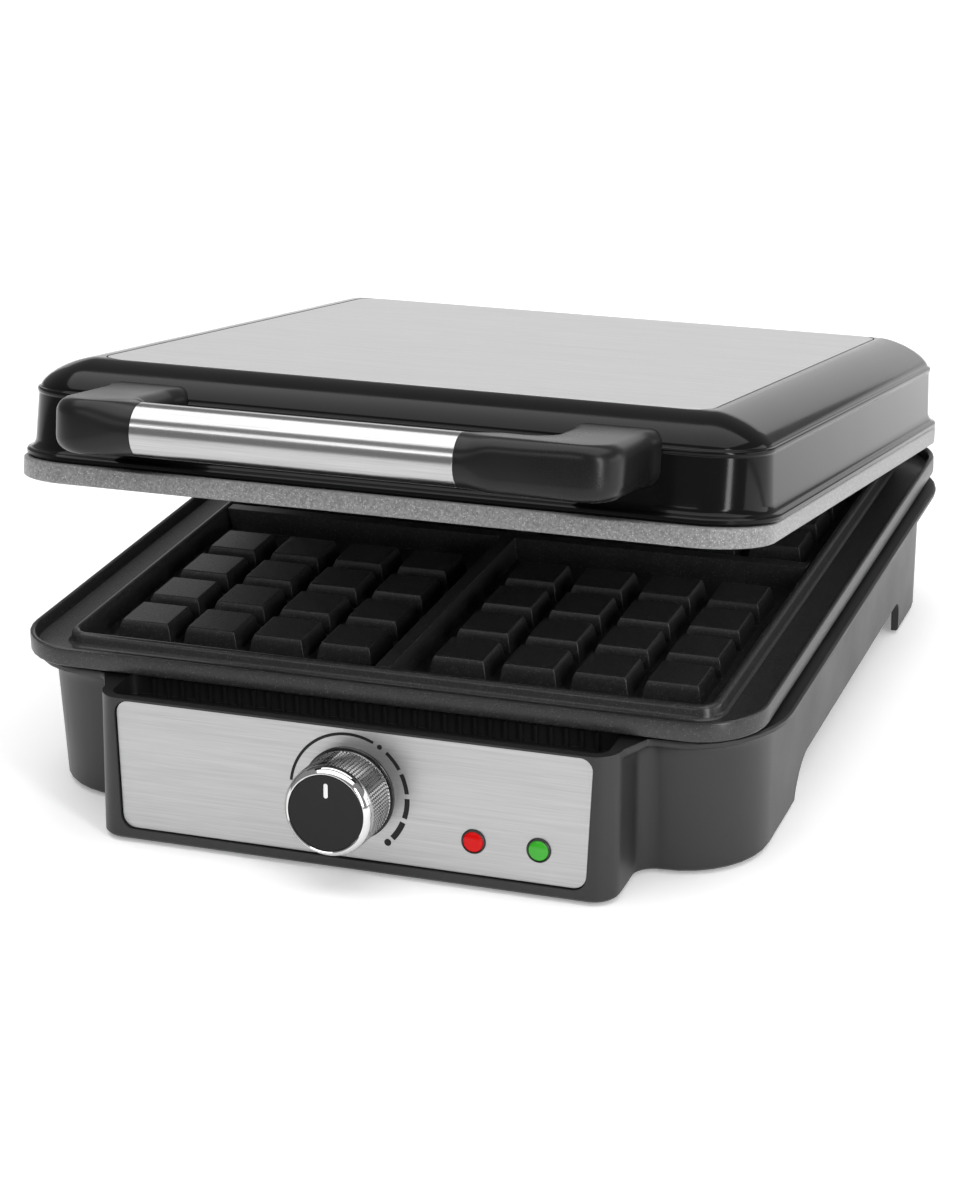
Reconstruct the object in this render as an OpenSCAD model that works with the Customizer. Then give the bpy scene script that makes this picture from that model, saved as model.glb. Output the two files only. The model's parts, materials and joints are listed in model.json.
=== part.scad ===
// Electric waffle maker for four waffles: a base with a control panel, a lid on a rear
// hinge, and a pair of cast cooking plates. Millimetres, +X right, +Y back, +Z up.
// The origin is on the table, under the middle of the whole appliance.

/* [Cooking plates] */
// Width of a cooking plate over its rim
plate_w = 300; // [230:1:380]
// Depth of a cooking plate, front to back
plate_d = 327; // [260:1:400]
// Plan radius of the plate corners
plate_r = 26; // [18:1:34]
// Height of the vertical band round a plate
band_h = 7.6; // [6:0.2:10]
// Thickness of the rim on top of the band
rim_t = 2.4; // [1.8:0.2:4]
// Space left between the two closed plates
plate_gap = 0.4; // [0.2:0.1:1]
// Width of the overflow channel between rim and ridge
channel_w = 15.6; // [10:0.2:20]
// Depth of the overflow channel
channel_depth = 5; // [3:0.5:5.5]
// Thickness of the ridge round the waffles
ridge_t = 4.4; // [3:0.2:7]
// Width of the divider between two waffles
divider_t = 8; // [4:0.5:14]
// Depth of a waffle cavity
cavity_depth = 10; // [7:0.5:12]
// Plan radius of the cavity corners
cavity_r = 6; // [2:1:10]
// Thickness of the casting under a cavity
plate_floor = 3.4; // [2.5:0.1:6]
// Distance from one stud to the next
stud_pitch = 28.5; // [27:0.1:29]
// Width of a stud at its foot
stud_w = 23.5; // [16:0.5:25]
// Height of a stud
stud_h = 8; // [5:0.5:10]
// Smallest space between the studs and the wall of a cavity
stud_margin = 3; // [2:0.5:8]

/* [Base] */
// Height of the rubber feet below the housing
foot_h = 1.5; // [1:0.1:4]
// Height from the table to the plane where the plates meet
closing_z = 67.7; // [64:0.5:90]
// How far the side walls stand in from the plate rim at the bottom
wall_inset = 5; // [3:0.5:8]
// How far each wall leans out towards the top
wall_draft = 2.6; // [0:0.2:4]
// Plan radius of the corner posts
post_r = 32; // [28:1:36]
// Wall thickness of the housings
wall_t = 2.5; // [2:0.1:3.5]
// How far the flange stands out past the plate
flange_out = 4.5; // [3:0.5:8]
// Thickness of the flange
flange_t = 3; // [2:0.5:4]
// Shadow gap between the flange and the plate
shadow_gap = 1.4; // [1:0.1:3]
// Height of the arches between the feet
arch_h = 15; // [8:1:18]
// Length of a side arch
arch_l = 179; // [120:1:200]
// Middle of the side arch, behind the middle of the plate
arch_mid = 7.5; // [0:0.5:15]

/* [Control box] */
// Width of the control box
box_w = 207; // [196:1:220]
// Plan radius of its front corners
box_r = 9; // [5:0.5:9]
// How far the middle of the steel panel stands in front of the plate
panel_out = 23.2; // [23:0.2:34]
// Lean of the panel, top edge back
panel_lean = 5.4; // [0:0.2:8]
// Width of the steel panel
panel_w = 189.2; // [170:0.2:190]
// Height of the steel panel
panel_h = 51.1; // [46:0.1:52]
// Thickness of the steel panel
panel_t = 0.8; // [0.6:0.1:1.5]
// Plan radius of the panel corners
panel_r = 5; // [2:0.5:8]
// How far the frame stands proud of the panel
frame_proud = 0.6; // [0.2:0.1:1.2]
// Sideways place of the red lamp
red_x = 49.7; // [40:0.1:60]
// Sideways place of the green lamp
green_x = 75.2; // [66:0.1:84]
// Drop of the lamps below the middle of the panel
lamp_drop = 12.4; // [6:0.2:16]
// Outer radius of a lamp's bezel
bezel_r = 4.8; // [4:0.1:6]

/* [Knob] */
// Outer radius of the knob
knob_r = 17.5; // [14:0.5:20]
// Radius of the black knob face
face_r = 14.9; // [11:0.1:16]
// How far the knob face stands out from the panel
knob_depth = 23; // [18:0.5:28]
// Space between the knob and the panel
knob_gap = 1.2; // [0.8:0.1:2]
// Radius of the thermostat shaft
shaft_r = 3; // [2:0.1:4]
// Running clearance of shafts and pins, on the radius
running_gap = 0.05; // [0.02:0.01:0.1]

/* [Lid] */
// How far the lid is open at rest, in degrees
lid_open = 11; // [0:1:80]
// Height of the lid wall above its flange
lid_wall_h = 24; // [18:0.5:32]
// Height of the domed shoulder above the wall
dome_h = 10.9; // [6:0.1:16]
// Width of the domed shoulder
dome_w = 23; // [14:0.5:30]
// How far the lid wall stands in from the plate rim
lid_inset = 2.8; // [2:0.1:6]
// Thickness of the lid's top plate
top_plate_t = 1; // [0.6:0.1:2]
// Groove between the top plate and the housing
groove = 0.5; // [0.2:0.1:1]

/* [Hinge] */
// Distance of the hinge axis behind the plate
hinge_back = 11.2; // [10.5:0.1:16]
// Height of the hinge axis above the closing plane
hinge_up = 3.2; // [1:0.1:6]
// Sideways place of each hinge
hinge_x = 95; // [60:1:105]
// Radius of the hinge knuckles
knuckle_r = 6.5; // [5.5:0.1:7]
// Radius of the hinge pins
pin_r = 3; // [2:0.1:3.5]
// Width of the lid's knuckle
knuckle_w = 9; // [6:0.5:14]
// Thickness of each ear on the base
ear_t = 6; // [4:0.5:8]
// Space between a knuckle and an ear
ear_gap = 0.5; // [0.3:0.1:1]

/* [Handle] */
// Radius of the handle bar
bar_r = 10; // [8:0.5:12]
// Visible length of the handle bar
bar_l = 125; // [90:1:140]
// Distance of the middle of the bar from the middle of the appliance, to the left
bar_shift = 12.5; // [0:0.5:20]
// Overall width of the handle
handle_w = 218; // [210:1:240]
// Distance of the bar axis in front of the plate
bar_out = 38; // [34:0.5:60]
// Height of the bar axis above the closing plane
bar_up = 29.8; // [26:0.2:34]
// Width of the arm that carries the bar
arm_w = 32; // [24:1:40]

/* [Hidden] */
$fn = 48;
eps = 0.01;

// Plates
half_w = plate_w / 2;
half_d = plate_d / 2;
ridge_w = plate_w - 2 * (rim_t + channel_w);
ridge_d = plate_d - 2 * (rim_t + channel_w - 2);
cavity_w = ridge_w - 2 * ridge_t;
cavity_d = ridge_d - 2 * ridge_t;
waffle_w = (cavity_w - divider_t) / 2;
waffle_d = (cavity_d - divider_t) / 2;
studs_across = floor((waffle_w - stud_w - 2 * stud_margin) / stud_pitch) + 1;
studs_along = floor((waffle_d - stud_w - 2 * stud_margin) / stud_pitch) + 1;
block_h = cavity_depth + plate_floor;
plate_boss_r = 5;
plate_boss_h = 10;
plate_boss_x = waffle_w - 9;
plate_boss_y = waffle_d - 12;
plate_screw_r = 1.7;
heater_r = 3.25;
heater_w = cavity_w - 56;
heater_d = cavity_d - 67;
heater_bend = 30;
heater_leads = 44;

// Levels of the base, from the plate down
lower_rim_z = closing_z - plate_gap / 2;
deck_z = lower_rim_z - band_h;
flange_top = deck_z - shadow_gap;
roof_z = deck_z - flange_t;
base_h = flange_top - foot_h;
foot_z = foot_h;
floor_t = 2.5;
cover_z = arch_h + foot_h + 1;
cover_t = 2;
shield_t = 0.8;
opening_w = ridge_w + 6;
opening_d = ridge_d + 6;
opening_r = 16;

// Walls of the base
tub_w = plate_w - 2 * wall_inset;
tub_d = plate_d - 2 * (wall_inset + 2);
tub_scale = [1 + 2 * wall_draft / tub_w, 1 + 2 * wall_draft / tub_d];
shield_w = tub_w - 2 * wall_t - 3;
shield_d = tub_d - 2 * wall_t - 3;
shield_r = post_r - wall_t - 1.5;

// Control box: the panel's middle, and the plane of the frame in front of it
panel_y = -half_d - panel_out;
panel_z = foot_h + 29.7;
lean_rise = tan(panel_lean);
frame_y_low = panel_y - frame_proud / cos(panel_lean) - (panel_z - foot_z) * lean_rise;
frame_y_top = frame_y_low + base_h * lean_rise;
trough_z = flange_top - 8.6;
trough_w = box_w - 8;
hollow_side = wall_t + 4;
hollow_low = foot_z + 5 - panel_z;
hollow_high = trough_z - wall_t - 0.8 - panel_z;
hollow_depth = 18;
trough_front = frame_y_top + 3;
trough_back = -half_d + 2;
rib_pitch = 6;
rib_count = floor((trough_w - 8) / rib_pitch / 2);
panel_back = -panel_t - floor_t;

// Thermostat and lamps, in the panel's own frame
thermostat_w = 28;
thermostat_h = 26;
thermostat_t = 15;
bush_r = 5;
nut_t = 2.5;
nut_r = 7.5;
lens_r = bezel_r - 0.9;
lamp_hole_r = 4;
pointer_w = 1.6;
pointer_l = 5.7;
pointer_y = face_r - pointer_l - 3.4;
holder_l = 16;

// Hinge
hinge_y = half_d + hinge_back;
hinge_z = closing_z + hinge_up;
ear_mid = knuckle_w / 2 + ear_gap + ear_t / 2;
pin_l = knuckle_w + 2 * (ear_gap + ear_t);

// Lid, in its closed place
upper_rim_z = closing_z + plate_gap / 2;
lid_deck_z = upper_rim_z + band_h;
lid_flange_t = 3.5;
shield_top = band_h + max(flange_t, lid_flange_t);
lid_wall_z = lid_deck_z + lid_flange_t;
lid_w = plate_w - 2 * lid_inset;
lid_d = plate_d - 2 * lid_inset + 0.6;
lid_r = plate_r - 2;
bead_z = lid_wall_z + lid_wall_h - 2;
bead_h = 2;
bead_step = 1.6;
dome_z = bead_z + bead_h;
lid_top_z = dome_z + dome_h;
dome_base_w = lid_w - 2 * bead_step;
dome_base_d = lid_d - 2 * bead_step;
dome_steps = 7;
dome_power = 1.5;
top_w = dome_base_w - 2 * dome_w;
top_d = dome_base_d - 2 * dome_w;
top_plate_w = top_w - 2 * groove;
top_plate_d = top_d + 4 - 2 * groove;
top_plate_r = 9;
ceiling_z = lid_top_z - top_plate_t - wall_t;
lid_taper = 2.2;
lid_hollow_w = lid_w - lid_taper - 0.2 - 2 * wall_t;
lid_hollow_d = lid_d - lid_taper - 0.2 - 2 * wall_t;

// Handle, in the lid's closed place
bar_y = -half_d - bar_out;
bar_z = closing_z + bar_up;
bar_wall = 1;
spigot_l = 12;
arm_outer = handle_w / 2 - bar_r;
arm_inner = handle_w / 2 - arm_w + bar_r;
handle_screw_x = (arm_inner + arm_outer) / 2;
handle_screw_r = 1.7;
handle_screw_z = bar_z - 2;
lid_front_in = -lid_d / 2 + wall_t + 0.4;

// Rubber feet and cover screws
foot_x = tub_w / 2 - 21;
foot_y = tub_d / 2 - 20.5;
foot_r = 9;
stem_r = 3;
cover_boss_x = tub_w / 2 - wall_t - 3.5;
cover_boss_y = 60;
cover_screw_r = 1.6;
cord_x = -60;
cord_z = 32;

// The whole appliance is centred front to back on the origin
front_reach = -panel_y + knob_depth * cos(panel_lean) + face_r * sin(panel_lean);
rear_reach = hinge_y + knuckle_r;
centre_y = (front_reach - rear_reach) / 2;

echo(centre_y = centre_y, hinge_y = hinge_y + centre_y, hinge_z = hinge_z);
echo(panel_y = panel_y + centre_y, panel_z = panel_z, lid_top_z = lid_top_z);

// ---- places ----

// Things that stay with the base
module on_base() {
    translate([0, centre_y, 0]) children();
}

// Things that turn with the lid, drawn where they are when it is closed
module on_lid() {
    on_base()
        translate([0, hinge_y, hinge_z]) rotate([-lid_open, 0, 0])
            translate([0, -hinge_y, -hinge_z]) children();
}

// The steel panel's own frame: x right, y up the panel, z out of it
module on_panel() {
    on_base() panel_frame() children();
}
module panel_frame() {
    translate([0, panel_y, panel_z]) rotate([90 - panel_lean, 0, 0]) children();
}

// ---- shared shapes ----

module rrect(w, d, r) {
    square([w, d - 2 * r], center = true);
    square([w - 2 * r, d], center = true);
    for (x = [-1, 1], y = [-1, 1])
        translate([x * (w / 2 - r), y * (d / 2 - r)]) circle(r);
}
module slab(w, d, r, z, h) {
    translate([0, 0, z]) linear_extrude(h) rrect(w, d, r);
}
module four(x, y) {
    for (sx = [-1, 1], sy = [-1, 1]) translate([sx * x, sy * y, 0]) children();
}
// A profile drawn in the YZ plane, extruded along X about x
module across(x, w) {
    translate([x - w / 2, 0, 0]) rotate([90, 0, 90]) linear_extrude(w) children();
}
module pan_screw(r, l, head_r, head_h) {
    cylinder(r = r, h = l);
    translate([0, 0, -head_h]) difference() {
        cylinder(r = head_r, h = head_h);
        translate([0, 0, -eps]) linear_extrude(head_h * 0.55) {
            square([head_r * 1.3, head_r * 0.26], center = true);
            square([head_r * 0.26, head_r * 1.3], center = true);
        }
    }
}

// ---- cooking plates ----

// One waffle cavity's studs
module studs() {
    for (i = [0 : studs_across - 1], j = [0 : studs_along - 1])
        translate([(i - (studs_across - 1) / 2) * stud_pitch - stud_w / 2,
            (j - (studs_along - 1) / 2) * stud_pitch - stud_w / 2, -cavity_depth - eps])
            cube([stud_w, stud_w, stud_h]);
}
// A plate with its rim at z = 0 and its cavities facing up
module cooking_plate() {
    difference() {
        slab(plate_w, plate_d, plate_r, -band_h, band_h);
        slab(plate_w - 2 * rim_t, plate_d - 2 * rim_t, plate_r - rim_t, -channel_depth, 20);
    }
    difference() {
        slab(ridge_w, ridge_d, cavity_r + ridge_t, -block_h, block_h);
        four((waffle_w + divider_t) / 2, (waffle_d + divider_t) / 2)
            slab(waffle_w, waffle_d, cavity_r, -cavity_depth, 20);
    }
    four((waffle_w + divider_t) / 2, (waffle_d + divider_t) / 2) studs();
    four(plate_boss_x, plate_boss_y) difference() {
        translate([0, 0, -block_h - plate_boss_h]) cylinder(r = plate_boss_r, h = plate_boss_h + eps);
        translate([0, 0, -block_h - plate_boss_h - eps])
            cylinder(r = plate_screw_r, h = plate_boss_h - 1);
    }
}
// A sheath heater pressed to the underside of a plate whose rim is at z = 0
module heater() {
    z = -block_h - heater_r;
    x = heater_w / 2 - heater_bend;
    y = heater_d / 2 - heater_bend;
    translate([0, 0, z]) {
        for (sx = [-1, 1], sy = [-1, 1])
            translate([sx * x, sy * y, 0]) rotate([0, 0, sx > 0 ? (sy > 0 ? 0 : 270) : (sy > 0 ? 90 : 180)])
                rotate_extrude(angle = 90) translate([heater_bend, 0]) circle(heater_r);
        for (s = [-1, 1]) {
            translate([s * heater_w / 2, y, 0]) rotate([90, 0, 0]) cylinder(r = heater_r, h = 2 * y);
            translate([s * heater_leads / 2, heater_d / 2, 0]) rotate([0, s * 90, 0])
                cylinder(r = heater_r, h = x - heater_leads / 2);
            translate([s * heater_leads / 2, heater_d / 2, 0]) rotate([0, -s * 90, 0])
                cylinder(r = 1.5, h = 9);
        }
        translate([-x, -heater_d / 2, 0]) rotate([0, 90, 0]) cylinder(r = heater_r, h = 2 * x);
    }
}
// A sheet tray that closes in the heater, for a plate whose rim is at z = 0
module heat_shield() {
    z = -block_h - plate_boss_h - shield_t;
    wall_h = -z - shield_top;
    difference() {
        slab(shield_w, shield_d, shield_r, z, wall_h);
        slab(shield_w - 2 * shield_t, shield_d - 2 * shield_t, shield_r - shield_t, z + shield_t, 50);
        four(plate_boss_x, plate_boss_y) translate([0, 0, z - 1]) cylinder(r = plate_screw_r + 0.3, h = 4);
        for (s = [-1, 1]) translate([s * 12, heater_d / 2 - 10, z - 1]) cylinder(r = 4, h = 4);
    }
}
module plate_screws() {
    z = -block_h - plate_boss_h - shield_t;
    four(plate_boss_x, plate_boss_y) translate([0, 0, z]) pan_screw(plate_screw_r, 8, 3.6, 2);
}
// A sealed thermal fuse under the shield of a plate whose rim is at z = 0
module thermal_fuse() {
    z = -block_h - plate_boss_h - shield_t;
    translate([heater_w / 4, 0, z - 3]) rotate([0, 90, 0]) {
        cylinder(r = 3, h = 16);
        translate([0, 0, -10]) cylinder(r = 0.9, h = 36);
    }
}
module facing_up() {
    translate([0, 0, lower_rim_z]) children();
}
module facing_down() {
    translate([0, 0, upper_rim_z]) mirror([0, 0, 1]) children();
}
module lower_plate() {
    color("dimgray") on_base() facing_up() cooking_plate();
}
module upper_plate() {
    color("gray") on_lid() facing_down() cooking_plate();
}
module lower_heater() {
    color("silver") on_base() facing_up() heater();
}
module upper_heater() {
    color("silver") on_lid() facing_down() heater();
}
module lower_heat_shield() {
    color("lightgray") on_base() facing_up() heat_shield();
}
module upper_heat_shield() {
    color("lightgray") on_lid() facing_down() heat_shield();
}
module lower_plate_screws() {
    color("silver") on_base() facing_up() plate_screws();
}
module upper_plate_screws() {
    color("silver") on_lid() facing_down() plate_screws();
}
module lower_thermal_fuse() {
    color("white") on_base() facing_up() thermal_fuse();
}
module upper_thermal_fuse() {
    color("white") on_lid() facing_down() thermal_fuse();
}

// ---- base ----

// The tapered tub of the base, with its walls moved in by inset
module tub(inset, z, h) {
    translate([0, 0, z]) linear_extrude(h, scale = tub_scale, slices = 1)
        rrect(tub_w - 2 * inset, tub_d - 2 * inset, post_r - inset);
}
// Plan of the control box, with the curves that join it to a front face at y = back
module box_plan(back, blend_r) {
    translate([0, (frame_y_low + back + 20) / 2]) rrect(box_w, back + 20 - frame_y_low, box_r);
    for (s = [-1, 1]) translate([s * box_w / 2, back]) mirror([s < 0 ? 1 : 0, 0]) difference() {
        translate([-1, -blend_r]) square([blend_r + 1, blend_r + 1]);
        translate([blend_r, -blend_r]) circle(blend_r);
    }
}
// One of the two pairs of ears that carry a hinge pin
module hinge_ears() {
    for (sx = [-1, 1], k = [-1, 1]) across(sx * hinge_x + k * ear_mid, ear_t) difference() {
        union() {
            translate([hinge_y, hinge_z]) circle(knuckle_r);
            polygon([[hinge_y - knuckle_r, hinge_z], [hinge_y + knuckle_r, hinge_z],
                [hinge_y + knuckle_r, roof_z - 6], [hinge_y - 3, roof_z - 18],
                [tub_d / 2 - 1, roof_z - 22], [tub_d / 2 - 1, flange_top],
                [hinge_y - knuckle_r, flange_top]]);
        }
        translate([hinge_y, hinge_z]) circle(pin_r);
    }
}
module panel_outline(grow) {
    hull() for (sx = [-1, 1], sy = [-1, 1])
        translate([sx * (panel_w / 2 - panel_r + sy * 1.1), sy * (panel_h / 2 - panel_r)])
            circle(panel_r + grow, $fn = 32);
}
module base_housing() {
    color([0.16, 0.16, 0.17]) on_base() difference() {
        union() {
            tub(0, foot_z, base_h);
            translate([0, 0, foot_z]) linear_extrude(base_h) box_plan(-tub_d / 2 - wall_draft / 2, 14);
            // flange all round, carried forward over the control box
            translate([0, 0, flange_top - flange_t]) linear_extrude(flange_t) {
                rrect(plate_w + 2 * flange_out, plate_d + 6, plate_r + flange_out);
                box_plan(-half_d - 3, 10);
            }
            // raised seat for the plate
            slab(plate_w - 8, plate_d - 8, plate_r - 4, flange_top - 1, deck_z - flange_top + 1);
            hinge_ears();
        }
        // the front of the control box leans back
        panel_frame() translate([-plate_w, -plate_w / 2, frame_proud]) cube([2 * plate_w, plate_w, 60]);
        // opening for the plate, and the hollow below it
        slab(opening_w, opening_d, opening_r, roof_z - 10, 30);
        translate([0, 0, foot_z - 1]) tub(wall_t, 0, roof_z - foot_z + 1);
        // hollow of the control box, and the way from it to the hollow of the base
        panel_frame() translate([-box_w / 2 + hollow_side, hollow_low, panel_back - hollow_depth])
            cube([box_w - 2 * hollow_side, hollow_high - hollow_low, hollow_depth]);
        translate([-80, -tub_d / 2 - 12, cover_z + 6]) cube([160, 30, trough_z - cover_z - 12]);
        // trough between the frame and the plate
        translate([-trough_w / 2, trough_front, trough_z])
            cube([trough_w, trough_back - trough_front, 30]);
        // seat of the steel panel, and the holes behind it
        panel_frame() {
            translate([0, 0, -panel_t]) linear_extrude(10) panel_outline(0.3);
            translate([0, 0, -12]) cylinder(r = bush_r + 0.2, h = 20);
            for (x = [red_x, green_x]) translate([x, -lamp_drop, -12]) cylinder(r = lamp_hole_r, h = 20);
        }
        // arches between the feet
        across(0, plate_w + 60) translate([arch_mid, 0]) arch_outline(arch_l, arch_h + foot_h, 9);
        translate([0, tub_d / 2 - 20, 0]) rotate([90, 0, 180])
            linear_extrude(40) arch_outline(tub_w - 110, arch_h - 2 + foot_h, 9);
        translate([cord_x, tub_d / 2 - 10, cord_z]) rotate([-90, 0, 0]) cylinder(r = 6, h = 30);
    }
    color([0.16, 0.16, 0.17]) on_base() {
        housing_ribs();
        foot_pads();
        cover_bosses();
    }
}
module arch_outline(l, h, r) {
    translate([-l / 2, -20]) square([l, 20 + h - r]);
    translate([-l / 2 + r, -20]) square([l - 2 * r, 20 + h]);
    for (s = [-1, 1]) translate([s * (l / 2 - r), h - r]) circle(r);
}
// Upright ribs on the back wall of the trough
module housing_ribs() {
    for (i = [-rib_count : rib_count])
        translate([i * rib_pitch - 0.6, trough_back - 1.2, trough_z - eps])
            cube([1.2, 1.7, flange_top - trough_z - 1]);
}
module foot_pads() {
    four(foot_x, foot_y) difference() {
        translate([0, 0, foot_z]) cylinder(r = 15, h = floor_t);
        translate([0, 0, foot_z - 1]) cylinder(r = stem_r, h = floor_t + 2);
    }
}
module cover_bosses() {
    four(cover_boss_x, cover_boss_y) difference() {
        translate([0, 0, cover_z + cover_t]) cylinder(r = 5, h = 18);
        translate([0, 0, cover_z + cover_t - 1]) cylinder(r = cover_screw_r, h = 14);
    }
}
module bottom_cover() {
    color([0.12, 0.12, 0.12]) on_base() difference() {
        slab(tub_w - 2 * wall_t - 0.6, tub_d - 2 * wall_t - 0.6, post_r - wall_t - 0.3, cover_z, cover_t);
        four(cover_boss_x, cover_boss_y) translate([0, 0, cover_z - 1])
            cylinder(r = cover_screw_r + 0.3, h = 4);
        for (i = [-5 : 5], s = [-1, 1])
            translate([i * 16 - 2, s * 45 - 25, cover_z - 1]) cube([4, 50, 4]);
    }
}
module bottom_cover_screws() {
    color("silver") on_base() four(cover_boss_x, cover_boss_y)
        translate([0, 0, cover_z]) pan_screw(cover_screw_r, 10, 3, 1.4);
}
module rubber_feet() {
    color([0.1, 0.1, 0.1]) on_base() four(foot_x, foot_y) {
        cylinder(r = foot_r, h = foot_h);
        translate([0, 0, foot_h - eps]) cylinder(r = stem_r, h = floor_t + eps);
        translate([0, 0, foot_z + floor_t]) cylinder(r = stem_r + 1, h = 1.5);
    }
}
module control_panel() {
    color("gainsboro") on_panel() difference() {
        translate([0, 0, -panel_t]) linear_extrude(panel_t) panel_outline(0);
        translate([0, 0, -5]) cylinder(r = bush_r, h = 10);
        for (x = [red_x, green_x]) translate([x, -lamp_drop, -5]) cylinder(r = lamp_hole_r, h = 10);
    }
}
module lamp_bezels() {
    color([0.1, 0.1, 0.1]) on_panel() for (x = [red_x, green_x]) translate([x, -lamp_drop, 0])
        difference() {
            cylinder(r = bezel_r, h = 0.9);
            translate([0, 0, -1]) cylinder(r = lens_r, h = 4);
        }
}
module lamp_lens() {
    translate([0, 0, panel_back]) cylinder(r = lens_r, h = 1 - panel_back);
    translate([0, 0, 1]) scale([1, 1, 0.28]) intersection() {
        sphere(lens_r);
        cylinder(r = lens_r + 1, h = lens_r + 1);
    }
}
module red_lamp_lens() {
    color("red") on_panel() translate([red_x, -lamp_drop, 0]) lamp_lens();
}
module green_lamp_lens() {
    color("limegreen") on_panel() translate([green_x, -lamp_drop, 0]) lamp_lens();
}
module lamp_holders() {
    color("white") on_panel() for (x = [red_x, green_x])
        translate([x, -lamp_drop, panel_back - holder_l]) difference() {
            cylinder(r = 6, h = holder_l);
            translate([0, 0, 2]) cylinder(r = 4.2, h = holder_l);
        }
}
module indicator_lamps() {
    color("orange") on_panel() for (x = [red_x, green_x])
        translate([x, -lamp_drop, panel_back - holder_l + 2]) {
            cylinder(r = 2.6, h = holder_l - 6);
            translate([0, 0, holder_l - 6]) sphere(2.6);
        }
}
module thermostat() {
    color("whitesmoke") on_panel() difference() {
        union() {
            translate([-thermostat_w / 2, -thermostat_h / 2, panel_back - thermostat_t])
                cube([thermostat_w, thermostat_h, thermostat_t]);
            translate([0, 0, panel_back - eps]) cylinder(r = bush_r, h = nut_t + 1 - panel_back);
        }
        translate([0, 0, panel_back - thermostat_t + 3]) cylinder(r = shaft_r + running_gap, h = 60);
    }
}
module thermostat_nut() {
    color("silver") on_panel() difference() {
        cylinder(r = nut_r, h = nut_t, $fn = 6);
        translate([0, 0, -1]) cylinder(r = bush_r, h = nut_t + 2);
    }
}
module terminal_block() {
    color("ivory") on_base() translate([cord_x, tub_d / 2 - 60, cover_z + cover_t]) difference() {
        translate([-15, -7, 0]) cube([30, 14, 12]);
        for (i = [-1 : 1]) translate([i * 9, 0, 4]) cylinder(r = 2.5, h = 10);
    }
}
module cord_bushing() {
    color([0.08, 0.08, 0.08]) on_base() translate([cord_x, tub_d / 2, cord_z]) rotate([-90, 0, 0])
        translate([0, 0, -wall_t - 6]) difference() {
            union() {
                cylinder(r = 6, h = wall_t + 10);
                translate([0, 0, wall_t + 8]) cylinder(r = 8.5, h = 4);
                cylinder(r = 8.5, h = 5);
            }
            translate([0, 0, -1]) cylinder(r = 3.6, h = wall_t + 30);
        }
}
// Mains leads from the terminal block to the thermostat
module base_wiring() {
    color("white") on_base() for (s = [-1, 1]) {
        x = cord_x + s * 9;
        y0 = tub_d / 2 - 68;
        y1 = -tub_d / 2 - 4;
        z = cover_z + cover_t + 7;
        translate([x, y0, z]) rotate([90, 0, 0]) cylinder(r = 1.4, h = y0 - y1);
        translate([x, y1, z]) sphere(1.4);
        translate([x, y1, z]) rotate([0, 90, 0]) cylinder(r = 1.4, h = -x - thermostat_w / 2);
    }
}
module hinge_pins() {
    color("silver") on_base() for (sx = [-1, 1])
        translate([sx * hinge_x - pin_l / 2, hinge_y, hinge_z]) rotate([0, 90, 0])
            cylinder(r = pin_r, h = pin_l);
}

// ---- lid ----

// How far the shoulder has come in at step k
function dome_in(k) = dome_w * (1 - pow(cos(90 * k / dome_steps), 2 / dome_power));
function dome_rise(k) = dome_h * pow(sin(90 * k / dome_steps), 2 / dome_power);
module dome() {
    hull() for (k = [0 : dome_steps])
        translate([0, 0, dome_z - (k == 0 ? bead_h / 2 : eps) + dome_rise(k)]) linear_extrude(eps)
            rrect(dome_base_w - 2 * dome_in(k), dome_base_d - 2 * dome_in(k), lid_r - dome_in(k) / 2,
                $fn = 32);
}
module lid_outside() {
    slab(lid_w + 7.4, lid_d + 7, lid_r + 3, lid_deck_z, lid_flange_t);
    translate([0, 0, lid_wall_z])
        linear_extrude(bead_z - lid_wall_z, slices = 1,
                       scale = [1 - lid_taper / lid_w, 1 - lid_taper / lid_d])
            rrect(lid_w, lid_d, lid_r);
    slab(lid_w - 1.6, lid_d - 1.6, lid_r, bead_z, bead_h);
    dome();
}
module lid_knuckles() {
    for (sx = [-1, 1]) across(sx * hinge_x, knuckle_w) {
        translate([hinge_y, hinge_z]) circle(knuckle_r);
        polygon([[hinge_y + knuckle_r, hinge_z], [lid_d / 2 + 8, bead_z - 3], [lid_d / 2 - 2, bead_z - 1],
            [lid_d / 2 - 2, lid_deck_z + 1], [hinge_y - knuckle_r, lid_deck_z + 1],
            [hinge_y - knuckle_r, hinge_z]]);
    }
}
module lid_housing() {
    color([0.1, 0.1, 0.11]) on_lid() difference() {
        union() {
            lid_outside();
            lid_knuckles();
        }
        slab(opening_w, opening_d, opening_r, lid_deck_z - 5, lid_flange_t + 10);
        hull() {
            slab(lid_hollow_w, lid_hollow_d, lid_r - wall_t, lid_wall_z, bead_z - lid_wall_z);
            slab(top_w + 14, top_d + 14, lid_r - wall_t, ceiling_z - eps, eps);
        }
        slab(top_plate_w + 2 * groove, top_plate_d + 2 * groove, top_plate_r + groove,
            lid_top_z - top_plate_t, 5);
        for (sx = [-1, 1]) {
            translate([sx * handle_screw_x, -lid_d / 2 + 10, handle_screw_z]) rotate([90, 0, 0])
                cylinder(r = handle_screw_r + 0.3, h = 20);
            translate([sx * hinge_x - 20, hinge_y, hinge_z]) rotate([0, 90, 0])
                cylinder(r = pin_r + running_gap, h = 40);
        }
    }
}
module lid_top_plate() {
    color("gainsboro") on_lid()
        slab(top_plate_w, top_plate_d, top_plate_r, lid_top_z - top_plate_t, top_plate_t);
}

// ---- handle ----

module handle_bar() {
    color("silver") on_lid() translate([-bar_l / 2 - bar_shift, bar_y, bar_z]) rotate([0, 90, 0])
        difference() {
            cylinder(r = bar_r, h = bar_l);
            translate([0, 0, -1]) cylinder(r = bar_r - bar_wall, h = bar_l + 2);
        }
}
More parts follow.
